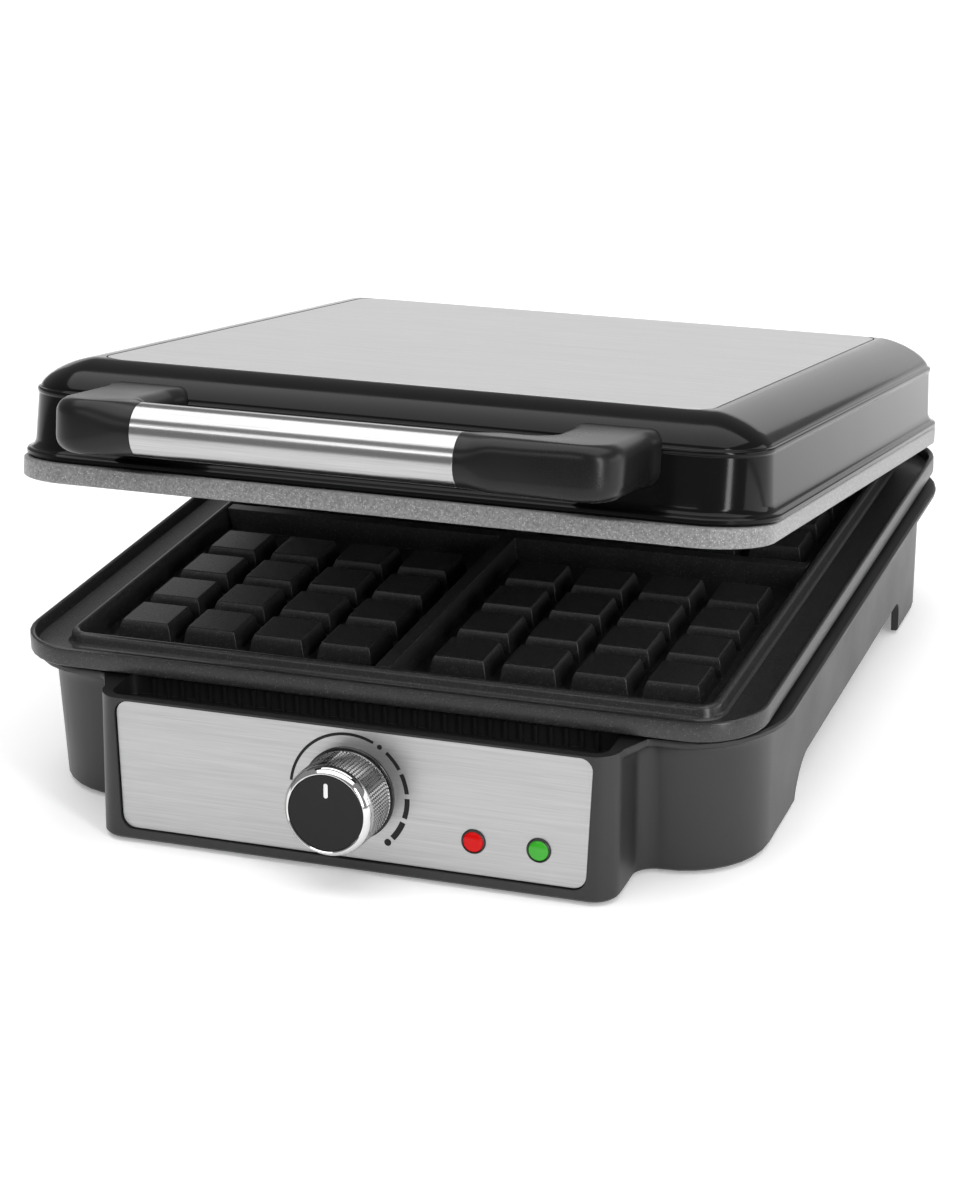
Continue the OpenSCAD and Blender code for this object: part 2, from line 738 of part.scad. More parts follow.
// A right-hand end piece: a spigot in the bar, a round end and an arm back to the lid
module handle_end(bar_end) {
    difference() {
        union() {
            translate([bar_end - spigot_l, bar_y, bar_z]) rotate([0, 90, 0])
                cylinder(r = bar_r - bar_wall, h = spigot_l + 1);
            translate([bar_end, bar_y, bar_z]) rotate([0, 90, 0])
                cylinder(r = bar_r, h = arm_outer - bar_end);
            hull() for (x = [arm_inner, arm_outer]) {
                translate([x, bar_y, bar_z]) sphere(bar_r, $fn = 32);
                translate([x, -lid_d / 2 + 16, bar_z - 2]) rotate([90, 0, 0])
                    cylinder(r = bar_r - 1.5, h = 2, $fn = 32);
            }
        }
        lid_outside();
        translate([handle_screw_x, 0, handle_screw_z]) rotate([90, 0, 0])
            cylinder(r = handle_screw_r, h = lid_d / 2 + 14);
    }
}
module handle_right_end() {
    color([0.12, 0.12, 0.13]) on_lid() handle_end(bar_l / 2 - bar_shift);
}
module handle_left_end() {
    color([0.12, 0.12, 0.13]) on_lid() mirror([1, 0, 0]) handle_end(bar_l / 2 + bar_shift);
}
module handle_screws() {
    color("silver") on_lid() for (sx = [-1, 1])
        translate([sx * handle_screw_x, lid_front_in + 1.2, handle_screw_z]) rotate([90, 0, 0])
            pan_screw(handle_screw_r, 15, 3.4, 2);
}

// ---- knob ----

module knob_shell() {
    color("silver") on_panel() rotate_extrude()
        polygon([[shaft_r, nut_t + 2.2], [shaft_r + 2.5, nut_t + 2.2],
            [shaft_r + 2.5, knob_depth - 4], [knob_r - 2, knob_depth - 4], [knob_r - 2, knob_gap],
            [knob_r, knob_gap], [knob_r, knob_depth - 3.6], [knob_r - 0.8, knob_depth - 1.8],
            [face_r + 0.4, knob_depth], [face_r, knob_depth], [face_r, knob_depth - 1.6],
            [shaft_r, knob_depth - 1.6]]);
}
module knob_face() {
    color([0.12, 0.12, 0.12]) on_panel() difference() {
        translate([0, 0, knob_depth - 1.6]) cylinder(r = face_r, h = 1.4);
        translate([-pointer_w / 2, pointer_y, knob_depth - 0.7]) cube([pointer_w, pointer_l, 3]);
    }
}
module knob_pointer() {
    color("white") on_panel() translate([-pointer_w / 2, pointer_y, knob_depth - 0.7])
        cube([pointer_w, pointer_l, 0.6]);
}
module thermostat_shaft() {
    color("silver") on_panel() translate([0, 0, panel_back - thermostat_t + 3.5])
        cylinder(r = shaft_r, h = knob_depth - 1.8 - panel_back + thermostat_t - 3.5);
}
module knob_spring_clip() {
    color("silver") on_panel() translate([0, 0, nut_t + 3]) difference() {
        cylinder(r = shaft_r + 3.3, h = 4);
        translate([0, 0, -1]) cylinder(r = shaft_r + 2.5, h = 6);
        translate([-1, 0, -1]) cube([2, 20, 6]);
    }
}

base_housing();
bottom_cover();
bottom_cover_screws();
rubber_feet();
control_panel();
lamp_bezels();
red_lamp_lens();
green_lamp_lens();
lamp_holders();
indicator_lamps();
lower_plate();
lower_heater();
lower_heat_shield();
lower_plate_screws();
lower_thermal_fuse();
thermostat();
thermostat_nut();
terminal_block();
base_wiring();
cord_bushing();
hinge_pins();
lid_housing();
lid_top_plate();
upper_plate();
upper_heater();
upper_heat_shield();
upper_plate_screws();
upper_thermal_fuse();
handle_bar();
handle_left_end();
handle_right_end();
handle_screws();
knob_shell();
knob_face();
knob_pointer();
thermostat_shaft();
knob_spring_clip();
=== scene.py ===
# %% [markdown]
# # A waffle maker with its lid ajar
# The base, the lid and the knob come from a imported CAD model, and this lesson gives them their
# looks. Each cell makes one piece of the real appliance and prints what it made. Lengths are
# in metres, and mm turns a maker's millimetres into them.

# %% Load the frame
import json
import math

import bmesh
import bpy
from mathutils import Matrix, Vector


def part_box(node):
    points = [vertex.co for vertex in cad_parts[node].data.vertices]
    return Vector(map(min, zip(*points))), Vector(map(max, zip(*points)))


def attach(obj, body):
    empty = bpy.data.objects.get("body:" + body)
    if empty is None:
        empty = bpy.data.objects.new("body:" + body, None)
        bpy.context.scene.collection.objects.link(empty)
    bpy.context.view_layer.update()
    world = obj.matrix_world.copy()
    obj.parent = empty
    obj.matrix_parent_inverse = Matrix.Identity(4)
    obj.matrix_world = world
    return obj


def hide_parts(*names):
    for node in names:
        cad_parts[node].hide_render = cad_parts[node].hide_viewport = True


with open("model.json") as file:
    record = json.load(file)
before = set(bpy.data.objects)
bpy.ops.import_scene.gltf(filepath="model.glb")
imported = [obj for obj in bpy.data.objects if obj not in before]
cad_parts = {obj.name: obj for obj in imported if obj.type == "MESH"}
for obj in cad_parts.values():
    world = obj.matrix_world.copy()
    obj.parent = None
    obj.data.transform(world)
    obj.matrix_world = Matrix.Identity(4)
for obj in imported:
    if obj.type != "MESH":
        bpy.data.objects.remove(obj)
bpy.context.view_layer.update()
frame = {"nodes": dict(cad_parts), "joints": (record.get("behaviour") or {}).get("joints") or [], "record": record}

mm = 0.001
UP = Vector((0, 0, 1))

# %% [markdown]
# ## Where things are
# Two joints say how the appliance moves. The lid turns about its hinge and rests ajar, so lid
# pieces are modelled closed, where their walls are upright, and swung open in the mesh at the
# end. The knob's axis also gives the leaning plane of the control panel.

# %% Measure the frame
joints = {joint["name"]: joint for joint in frame["joints"]}
hinge_at = Vector(joints["lid_hinge"]["pos_m"])
hinge_axis = Vector(joints["lid_hinge"]["axis"])
ajar = math.radians(-joints["lid_hinge"]["range_deg"][0])
panel_at = Vector(joints["knob_turn"]["pos_m"])
panel_out = -Vector(joints["knob_turn"]["axis"]).normalized()
panel_up = panel_out.cross(Vector((1, 0, 0)))
panel_frame = Matrix((Vector((1, 0, 0)), panel_up, panel_out)).transposed().to_4x4()
panel_frame.translation = panel_at
lean = math.atan2(panel_out.z, -panel_out.y)

plate_lo, plate_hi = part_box("lower_plate")
half_w = plate_hi.x
half_d = (plate_hi.y - plate_lo.y) / 2
mid_y = (plate_hi.y + plate_lo.y) / 2
rim_z = plate_hi.z
closing_z = rim_z + 0.2 * mm
band_h = 7.6 * mm
deck_z = rim_z - band_h
lid_deck_z = closing_z + 0.2 * mm + band_h
print("plates", round(2 * half_w, 4), round(2 * half_d, 4), "lid ajar", round(math.degrees(ajar), 1))

# %% [markdown]
# ## Tools for moulded shells
# Nearly every shell here is one flat outline with rounded corners that climbs in steps, and is
# let out or taken in at each step. sheet() makes the outline from a few corners, and bevels
# them. climb() extrudes the top face and moves its edge by the same distance all round, which
# scaling can't do on an oblong. profile() climbs through a whole list of steps.

# %% Sheet and climb
def sheet(corners, radii, segments=8, z=0.0):
    """A bmesh with one flat face, whose corners are rounded by their radii."""
    bm = bmesh.new()
    verts = [bm.verts.new((x, y, z)) for x, y in corners]
    bm.faces.new(verts)
    for vert, radius in zip(verts, radii):
        bmesh.ops.bevel(bm, geom=[vert], offset=radius, offset_type="OFFSET", affect="VERTICES",
                        segments=segments, profile=0.5, material=-1, clamp_overlap=False)
    bm.faces.ensure_lookup_table()
    return bm, bm.faces[0]


def oblong(half_x, half_y, radius, segments=8, z=0.0, y=0.0):
    """A sheet with four equal corners, centred on x = 0."""
    corners = [(-half_x, y - half_y), (half_x, y - half_y), (half_x, y + half_y), (-half_x, y + half_y)]
    return sheet(corners, [radius] * 4, segments, z)


def pull(bm, faces):
    """Extrude faces together and return what was made; the first sheet of a solid stays as its floor."""
    inside = any(len(edge.link_faces) > 1 for edge in faces[0].edges)
    made = bmesh.ops.extrude_face_region(bm, geom=faces)["geom"]
    if inside:
        bmesh.ops.delete(bm, geom=faces, context="FACES")
    return made


def climb(bm, face, up, out=0.0, share=None):
    """Extrude a level face by up, and let its outline out; share(point) scales how far."""
    face = next(item for item in pull(bm, [face]) if isinstance(item, bmesh.types.BMFace))
    face.normal_update()
    facing = UP if face.normal.z > 0 else -UP
    ring = [loop.vert for loop in face.loops]
    spots = [vert.co.copy() for vert in ring]
    for i, vert in enumerate(ring):
        before = (spots[i] - spots[i - 1]).normalized().cross(facing)
        after = (spots[(i + 1) % len(ring)] - spots[i]).normalized().cross(facing)
        side = (before + after).normalized()
        reach = out * (share(spots[i]) if share else 1) / max(side.dot(before), 0.3)
        vert.co = spots[i] + side * reach + UP * up
    return face


def profile(bm, face, steps, share=None):
    """Climb through a list of (up, out) steps, given in millimetres."""
    for up, out in steps:
        face = climb(bm, face, up * mm, out * mm, share)
    return face


def smooth_step(x, low, high):
    """0 below low, 1 above high, and a soft curve between."""
    t = min(max((x - low) / (high - low), 0), 1)
    return t * t * (3 - 2 * t)


# %% [markdown]
# ## Tools for finished pieces
# finish_mesh() turns a bmesh into an object with smooth faces that stay crisp past 35 degrees.
# carve() cuts or joins another solid with a Boolean and keeps the result as plain mesh.
# soften() leaves a small live Bevel on sharp edges, because no moulded edge is truly sharp, and
# it is the thin highlight along an edge that makes a render look real.

# %% Piece tools
CRISP = math.radians(35)
STAND_UP = Matrix.Rotation(math.radians(90), 4, "X")
SIDEWAYS = Matrix.Rotation(math.radians(90), 4, "Z") @ STAND_UP


def finish_mesh(bm, name, weld=True):
    """An object from a bmesh, with outward normals."""
    if weld:
        bmesh.ops.remove_doubles(bm, verts=bm.verts, dist=0.002 * mm)
    bmesh.ops.recalc_face_normals(bm, faces=bm.faces)
    mesh = bpy.data.meshes.new(name)
    bm.to_mesh(mesh)
    bm.free()
    mesh.shade_smooth()
    mesh.set_sharp_from_angle(angle=CRISP)
    piece = bpy.data.objects.new(name, mesh)
    bpy.context.scene.collection.objects.link(piece)
    return piece


def carve(piece, bm, place=None, operation="DIFFERENCE"):
    """Cut the solid in a bmesh out of a piece, or join it on."""
    if place:
        place(bm)
    cutter = finish_mesh(bm, "cutter")
    boolean = piece.modifiers.new("carve", "BOOLEAN")
    boolean.operation = operation
    boolean.solver = "EXACT"
    boolean.object = cutter
    bpy.context.view_layer.update()
    seen = piece.evaluated_get(bpy.context.evaluated_depsgraph_get())
    mesh = bpy.data.meshes.new_from_object(seen)
    piece.modifiers.clear()
    piece.data = mesh
    bpy.data.objects.remove(cutter)
    mesh.shade_smooth()
    mesh.set_sharp_from_angle(angle=CRISP)
    return piece


def soften(piece, width, segments=2, angle=40):
    """Round every edge sharper than angle degrees."""
    bevel = piece.modifiers.new("edge", "BEVEL")
    bevel.width = width
    bevel.segments = segments
    bevel.limit_method = "ANGLE"
    bevel.angle_limit = math.radians(angle)
    bevel.harden_normals = True
    bevel.miter_outer = "MITER_ARC"
    return piece


def swing_open(bm):
    """Turn what was modelled with the lid closed to where the lid rests."""
    turn = Matrix.Rotation(ajar, 3, hinge_axis)
    bmesh.ops.rotate(bm, cent=hinge_at, matrix=turn, verts=bm.verts)


def onto_panel(bm):
    """Stand what was modelled flat on the leaning control panel."""
    bmesh.ops.transform(bm, matrix=panel_frame, verts=bm.verts)


def rod(radius, start, length, axis, segments=32):
    """A closed rod from start along axis, as a bmesh."""
    bm = bmesh.new()
    turn = UP.rotation_difference(Vector(axis)).to_matrix().to_4x4()
    place = Matrix.Translation(Vector(start) + Vector(axis) * length / 2) @ turn
    bmesh.ops.create_cone(bm, cap_ends=True, segments=segments, radius1=radius, radius2=radius,
                          depth=length, matrix=place)
    return bm


def spun(section, steps=96, closed=True):
    """A bmesh spun round UP from (radius, height) points."""
    bm = bmesh.new()
    spots = [bm.verts.new((radius, 0, height)) for radius, height in section]
    pairs = range(len(spots)) if closed else range(1, len(spots))
    edges = [bm.edges.new((spots[i - 1], spots[i])) for i in pairs]
    bmesh.ops.spin(bm, geom=spots + edges, cent=(0, 0, 0), axis=UP, angle=math.tau, steps=steps,
                   use_merge=True)
    return bm


# %% [markdown]
# hand_over() is the last step for every piece. It says which body the piece moves with, which
# finish it wears, and which CAD nodes it stands for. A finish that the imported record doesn't
# know, such as the knurling's, is only noted here.

# %% Hand a piece over
pieces = {}


def hand_over(piece, body, slot, *nodes):
    """Ride a body, take a finish, and stand for CAD nodes, which are hidden."""
    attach(piece, body)
    if nodes:
        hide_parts(*nodes)
    pieces[piece.name] = slot
    print(piece.name, "faces", len(piece.data.polygons))


# %% [markdown]
# ## The base housing
# The base is a plastic tub with four rounded corner posts and a control box that grows out of
# its front in two soft S-curves. Its walls lean out, and flare under the plate into a lip. One
# outline of eight corners climbs to make it. The flare fades along the control box, whose front
# leans back, so those points are moved by how far forward they stand.

# %% Base outline
foot_z = 1.5 * mm
wall_in = 5 * mm
tub_x = half_w - wall_in
tub_y = half_d - wall_in - 2 * mm
lip_reach = 4.5 * mm + wall_in
box_x = 103.5 * mm
post_r = 32 * mm
soft_r = 9 * mm
box_front = panel_at.y - 0.6 * mm - (panel_at.z - foot_z) * math.tan(lean)
tub_front = mid_y - tub_y
tub_back = mid_y + tub_y
base_corners = [
    (-box_x, box_front), (box_x, box_front), (box_x, tub_front), (tub_x, tub_front),
    (tub_x, tub_back), (-tub_x, tub_back), (-tub_x, tub_front), (-box_x, tub_front)]
base_radii = [soft_r, soft_r, soft_r, post_r, post_r, post_r, post_r, soft_r]
lip_top = deck_z - 1.4 * mm


def on_tub(point):
    """1 on the tub, falling to 0 along the sides of the control box."""
    return smooth_step(point.y, box_front + 10 * mm, tub_front - 1 * mm)


# %% Base shell
bm, face = sheet(base_corners, base_radii)
for vert in bm.verts:
    vert.co.z = foot_z
rise = lip_top - foot_z
foot_out = 0.8 * mm
wall_out = 1.2 * mm
lip_steps = [(2.5, 0.3), (2, 0.7), (1.5, 1.3), (0.8, 1.7), (0.3, 2.0), (0.6, 0.7), (1.6, 0), (0.7, -0.7)]
lip_h = sum(up for up, out in lip_steps)
lip_total = sum(out for up, out in lip_steps[:-1])
flare = (lip_reach / mm - (wall_out + foot_out) / mm) / lip_total
face = climb(bm, face, 1 * mm, foot_out)
face = climb(bm, face, rise - 1.5 * mm - lip_h * mm, wall_out, on_tub)
face = profile(bm, face, [(up, out * flare) for up, out in lip_steps], on_tub)
for vert in bm.verts:
    forward = 1 - smooth_step(vert.co.y, box_front + 14 * mm, tub_front - 4 * mm)
    vert.co.y += forward * (vert.co.z - foot_z) * math.tan(lean)
base = finish_mesh(bm, "base_shell")

deck_in = 4 * mm
deck_r = 22 * mm
sunk = 2 * mm
seat, top = oblong(half_w - deck_in, half_d - deck_in, deck_r, z=lip_top - sunk, y=mid_y)
climb(seat, top, deck_z - lip_top + sunk)
carve(base, seat, operation="UNION")
print("base outline", [round(c, 4) for c in (box_front, tub_front, tub_back)])

# %% [markdown]
# A real housing is hollow, and stands on arches between its feet. Each opening is a plain
# solid that is carved away: the hollow, the opening for the plate, two arches, the trough
# between the panel and the plate, the seat of the steel panel, and the holes behind it.

# %% Base openings
wall = 2.5 * mm
roof_t = 3 * mm
below = 5 * mm
through = 30 * mm
hollow, top = oblong(tub_x - wall, tub_y - wall, post_r - wall, z=-below, y=mid_y)
climb(hollow, top, deck_z - roof_t + below, 1 * mm)
carve(base, hollow)

ridge_x = half_w - 18 * mm
ridge_y = half_d - 16 * mm
opening_x = ridge_x + 3 * mm
opening_y = ridge_y + 3 * mm
opening_r = 16 * mm
opening, top = oblong(opening_x, opening_y, opening_r, z=deck_z - 13 * mm, y=mid_y)
climb(opening, top, through)
carve(base, opening)


def arch(along, height, front_r, back_r, middle):
    """The end view of an arch, standing on the table, ready to be pushed sideways."""
    front, back = middle - along / 2, middle + along / 2
    corners = [(front - 6 * mm, -below), (back + 1 * mm, -below), (back, height), (front, height)]
    return sheet(corners, [1 * mm, 1 * mm, back_r, front_r], 10)


cutter_l = 400 * mm
side_arch, top = arch(179 * mm, 16.5 * mm, 15 * mm, 6 * mm, mid_y + 7.5 * mm)
climb(side_arch, top, cutter_l)
to_side = Matrix.Translation((-cutter_l / 2, 0, 0)) @ SIDEWAYS
bmesh.ops.transform(side_arch, verts=side_arch.verts, matrix=to_side)
carve(base, side_arch)

cutter_l = 40 * mm
back_arch, top = arch(2 * tub_x - 110 * mm, 14.5 * mm, 9 * mm, 9 * mm, 0)
climb(back_arch, top, cutter_l)
to_back = Matrix.Translation((0, tub_back + cutter_l / 2, 0)) @ STAND_UP
bmesh.ops.transform(back_arch, verts=back_arch.verts, matrix=to_back)
carve(base, back_arch)

trough_z = lip_top - 8.6 * mm
trough_x = box_x - 4 * mm
trough_front = box_front + (lip_top - foot_z) * math.tan(lean) + 3 * mm
trough_back = mid_y - half_d + 2 * mm
trough, top = oblong(trough_x, (trough_back - trough_front) / 2, 5 * mm, z=trough_z,
                     y=(trough_back + trough_front) / 2)
climb(trough, top, through, 0.6 * mm)
carve(base, trough)

panel_flare = 1.1 * mm
panel_r = 5 * mm
panel_lo, panel_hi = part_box("control_panel")
panel_x = panel_hi.x - panel_flare
panel_y = (panel_hi.z - panel_lo.z) / 2 / math.cos(lean) - 0.05 * mm
panel_t = 0.8 * mm


def panel_outline(gap, z):
    """The steel panel's outline, a little wider at its top."""
    low_x, high_x, y = panel_x - panel_flare + gap, panel_x + panel_flare + gap, panel_y + gap
    return sheet([(-low_x, -y), (low_x, -y), (high_x, y), (-high_x, y)], [panel_r + gap] * 4, 6, z)


seat, top = panel_outline(0.35 * mm, -panel_t)
climb(seat, top, 10 * mm)
carve(base, seat, onto_panel)
lamp_x = [(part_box(node)[0].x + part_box(node)[1].x) / 2 for node in ("red_lamp_lens", "green_lamp_lens")]
lamp_drop = 12.4 * mm
bush_r = 5 * mm
bush_gap = 0.2 * mm
lamp_hole_r = 4 * mm
holes = [(0, 0, bush_r + bush_gap)] + [(x, -lamp_drop, lamp_hole_r) for x in lamp_x]
for x, y, radius in holes:
    carve(base, rod(radius, (x, y, -12 * mm), 20 * mm, UP), onto_panel)
cord_lo, cord_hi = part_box("cord_bushing")
cord_at = ((cord_lo.x + cord_hi.x) / 2, tub_back - 10 * mm, (cord_lo.z + cord_hi.z) / 2)
cord_hole_r = 6 * mm
carve(base, rod(cord_hole_r, cord_at, through, (0, 1, 0)))
soften(base, 0.5 * mm)
hand_over(base, "base", "base_plastic", "base_housing")

# %% [markdown]
# ## Ribs in the trough
# The back wall of the trough has a row of thin upright ribs, which let warm air out. One cube
# is stretched to a rib and its upright front edges are bevelled, and a loop sets out the row.

# %% Trough ribs
bm = bmesh.new()
rib_pitch = 6 * mm
rib_w = 1.4 * mm
rib_t = 1.6 * mm
rib_h = lip_top - trough_z - 1 * mm
rib_count = int((trough_x - rib_pitch) / rib_pitch)
for i in range(-rib_count, rib_count + 1):
    middle = Vector((i * rib_pitch, trough_back - 0.6 * mm, trough_z + rib_h / 2))
    size = Matrix.Diagonal((rib_w, rib_t, rib_h, 1))
    rib = bmesh.ops.create_cube(bm, size=1, matrix=Matrix.Translation(middle) @ size)["verts"]
    edges = [e for v in rib for e in v.link_edges
             if all(p.co.y < middle.y for p in e.verts) and abs(e.verts[0].co.z - e.verts[1].co.z) > 1 * mm]
    bmesh.ops.bevel(bm, geom=list(set(edges)), offset=0.4 * mm, offset_type="OFFSET", affect="EDGES",
                    segments=2, profile=0.5, material=-1)
hand_over(finish_mesh(bm, "trough_ribs", weld=False), "base", "base_plastic")

# %% [markdown]
# ## Hinge ears and knuckles
# At the back, two pairs of ears stand up from the base and hold steel pins. A knuckle on the
# lid turns between each pair. Both are an end view with rounded corners pushed sideways, with
# a hole for the pin carved through.

# %% Ears on the base
knuckle_r = 6.5 * mm
hinge_x = 95 * mm
knuckle_w = 9 * mm
ear_w = 6 * mm
ear_gap = 0.5 * mm


def side_plate(corners, radii, middle_x, width):
    """Push an end view, given as (y, z) corners, sideways about middle_x."""
    bm, face = sheet(corners, radii, 8)
    climb(bm, face, width)
    to_side = Matrix.Translation((middle_x - width / 2, 0, 0)) @ SIDEWAYS
    bmesh.ops.transform(bm, matrix=to_side, verts=bm.verts)
    return bm


ear_corners = [(tub_back - 1 * mm, deck_z - 25 * mm), (hinge_at.y - 3 * mm, deck_z - 21 * mm),
               (hinge_at.y + knuckle_r, deck_z - 9 * mm), (hinge_at.y + knuckle_r, hinge_at.z + knuckle_r),
               (hinge_at.y - knuckle_r, hinge_at.z + knuckle_r), (hinge_at.y - knuckle_r, lip_top),
               (tub_back - 1 * mm, lip_top)]
ear_radii = [0.5 * mm, 5 * mm, 6 * mm, knuckle_r - 0.05 * mm, knuckle_r - 0.05 * mm, 0.3 * mm, 0.3 * mm]
pin_lo, pin_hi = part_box("hinge_pins")
pin_r = (pin_hi.z - pin_lo.z) / 2
for side, hand in ((-1, "left"), (1, "right")):
    for step, place in ((-1, "inner"), (1, "outer")):
        middle_x = side * (hinge_x + step * (knuckle_w / 2 + ear_gap + ear_w / 2))
        ear = finish_mesh(side_plate(ear_corners, ear_radii, middle_x, ear_w), f"hinge_ear_{hand}_{place}")
        start = (middle_x - ear_w, hinge_at.y, hinge_at.z)
        carve(ear, rod(pin_r, start, 2 * ear_w, (1, 0, 0)))
        hand_over(soften(ear, 0.5 * mm), "base", "base_plastic")

# %% [markdown]
# ## The cooking plates
# Each plate is one cast piece. From its underside it steps out to a wide band, climbs to a thin
# rim, drops into an overflow channel, and rises again over a rounded ridge. Inside the ridge
# lies one deep floor. Bisecting that floor along the edges of the studs and of the divider
# gives exactly the faces to pull up, so the whole casting stays one closed surface.

# %% Plate body
channel_w = 15.6 * mm
channel_depth = 5 * mm
cavity_depth = 10 * mm
block_h = 13.4 * mm
divider = 8 * mm
stud_pitch = 28.5 * mm
stud_w = 23.5 * mm
stud_h = 8 * mm
longer = 2 * mm
crown_slope = 1 * mm
crown_reach = 2.3 * mm


def plate_body():
    """A plate facing up, with its rim at z = 0 and its middle at the origin, and its floor face."""
    bm, face = oblong(ridge_x - 0.5 * mm, ridge_y - 0.5 * mm, 7.5 * mm, z=-block_h)
    face = climb(bm, face, block_h - band_h, 0.5 * mm)
    face = climb(bm, face, 0, half_w - ridge_x - 0.5 * mm)
    for vert in face.verts:
        vert.co.y += math.copysign(half_d - ridge_y - (half_w - ridge_x), vert.co.y)
    face = profile(bm, face, [(0.5, 0.5), (band_h / mm - 1.3, 0), (0.5, -0.25), (0.3, -0.65)])
    channel_wall = [(-0.3, -1.0), (-0.9, -0.5), (2.7 - channel_depth / mm, -0.4), (-1, -0.5), (-0.5, -1.2)]
    face = profile(bm, face, channel_wall)
    face = climb(bm, face, 0, -(channel_w - 4.5 * mm))
    for vert in face.verts:
        vert.co.y += math.copysign(longer, vert.co.y)
    ridge_up = [(0.5, -0.7), (1, -0.6), (1.9, -0.4), (1.0, -0.55), (0.6, -0.9)]
    ridge_down = [(0, -0.9), (-0.6, -0.9), (-1.0, -0.5)]
    pit_wall = [(3.6 - cavity_depth / mm, -0.5), (-1.4, -0.5), (-0.6, -1.4)]
    return bm, profile(bm, face, ridge_up + ridge_down + pit_wall)


# %% [markdown]
# The studs and the divider come out of the flat floor. Each cut runs right across it, and a
# face belongs to the divider or to a stud by where its middle lies. Insetting a stud's face
# while lifting it slopes the sides, as a casting needs to leave its mould.

# %% Studs and divider
def cut_floor(bm, across, value, z):
    """Cut the floor at height z along one straight line."""
    level = [f for f in bm.faces if abs(f.calc_center_median().z - z) < 0.01 * mm]
    geom = level + list({e for f in level for e in f.edges}) + list({v for f in level for v in f.verts})
    bmesh.ops.bisect_plane(bm, geom=geom, dist=0.001 * mm, plane_co=across * value, plane_no=across)


def cooking_plate(name):
    """A whole plate, still facing up at the origin, as a bmesh."""
    bm, face = plate_body()
    z = face.calc_center_median().z
    inside_x = max(vert.co.x for vert in face.verts)
    inside_y = max(vert.co.y for vert in face.verts)
    cells = {}
    for axis, inside in ((Vector((1, 0, 0)), inside_x), (Vector((0, 1, 0)), inside_y)):
        centre = (inside + 1.9 * mm + divider / 2) / 2
        spots = [side * centre + (k - 1.5) * stud_pitch for side in (-1, 1) for k in range(4)]
        cells[axis.x > 0] = spots
        cuts = [spot + edge * stud_w / 2 for spot in spots for edge in (-1, 1)]
        for value in cuts + [-divider / 2, divider / 2]:
            cut_floor(bm, axis, value, z)
    level = [f for f in bm.faces if abs(f.calc_center_median().z - z) < 0.01 * mm]

    def near(value, spots):
        return any(abs(value - spot) < stud_w / 2 for spot in spots)

    studs, cross = [], []
    for f in level:
        spot = f.calc_center_median()
        if abs(spot.x) < divider / 2 or abs(spot.y) < divider / 2:
            cross.append(f)
        elif near(spot.x, cells[True]) and near(spot.y, cells[False]):
            studs.append(f)
    up = 1 if studs[0].normal.z > 0 else -1
    bmesh.ops.inset_individual(bm, faces=studs, thickness=1.5 * mm, depth=up * stud_h * 0.75)
    bmesh.ops.inset_individual(bm, faces=studs, thickness=1.3 * mm, depth=up * stud_h * 0.25)
    crown = [item for item in pull(bm, cross) if isinstance(item, bmesh.types.BMVert)]
    bmesh.ops.translate(bm, verts=crown, vec=UP * (-z - 0.3 * mm))
    for vert in crown:
        for axis, inside in ((0, inside_x), (1, inside_y)):
            if abs(abs(vert.co[axis]) - divider / 2) < 0.1 * mm:
                vert.co[axis] -= math.copysign(crown_slope, vert.co[axis])
            elif abs(vert.co[axis]) > inside - 0.1 * mm:
                vert.co[axis] += math.copysign(crown_reach, vert.co[axis])
    print(name, "studs", len(studs), "divider faces", len(cross))
    return bm


bm = cooking_plate("lower_cooking_plate")
bmesh.ops.translate(bm, verts=bm.verts, vec=(0, mid_y, rim_z))
lower = soften(finish_mesh(bm, "lower_cooking_plate"), 0.6 * mm, 3, 42)
hand_over(lower, "base", "nonstick_dark", "lower_plate")

bm = cooking_plate("upper_cooking_plate")
bmesh.ops.scale(bm, verts=bm.verts, vec=(1, 1, -1))
bmesh.ops.translate(bm, verts=bm.verts, vec=(0, mid_y, closing_z + 0.2 * mm))
swing_open(bm)
upper = soften(finish_mesh(bm, "upper_cooking_plate"), 0.6 * mm, 3, 42)
hand_over(upper, "lid", "nonstick_grey", "upper_plate")

# %% [markdown]
# ## The lid housing
# The lid is a glossy shell: a lip above the plate, an upright wall, a thin bead, and a domed
# shoulder that runs in to the steel plate. The dome is a quarter of a superellipse, which stays
# flatter than a circle near its top, so the reflections stretch along it as on the real lid.

# %% Lid shell
lid_x = half_w - 2.8 * mm
lid_y = half_d - 2.5 * mm
lid_r = 24 * mm
dome_w = 21.4 * mm
dome_h = 10.9 * mm
dome_power = 1.5
dome_steps = 14
lid_top = closing_z + 46.2 * mm
bm, face = oblong(lid_x + 1.5 * mm, lid_y + 1.5 * mm, lid_r + 1.5 * mm, 10, z=lid_deck_z, y=mid_y)
lip = [(0.2, 1.4), (0.7, 0.8), (1.4, 0), (0.6, -0.5), (0.3, -1.0), (0.4, -0.7), (1.0, -0.7), (1.6, -0.6)]
upright_wall = [(18.3, -0.9)]
bead = [(0.3, 0.35), (0.5, 0.2), (0.9, 0), (0.5, -0.3), (0.3, -0.9)]
face = profile(bm, face, lip + upright_wall + bead)
dome_z = face.calc_center_median().z


def shoulder(k):
    """How far the dome has come in and up at step k."""
    turn = math.pi / 2 * k / dome_steps
    return (dome_w * (1 - math.cos(turn) ** (2 / dome_power)), dome_h * math.sin(turn) ** (2 / dome_power))


for k in range(1, dome_steps + 1):
    (was_in, was_up), (now_in, now_up) = shoulder(k - 1), shoulder(k)
    face = climb(bm, face, (now_up - was_up) * (lid_top - dome_z) / dome_h, was_in - now_in)
edge_x = max(vert.co.x for vert in face.verts)
edge_y = max(vert.co.y for vert in face.verts) - mid_y
print("lid top", round(face.calc_center_median().z, 4), "flat", round(edge_x, 4), round(edge_y, 4))
lid = finish_mesh(bm, "lid_shell")

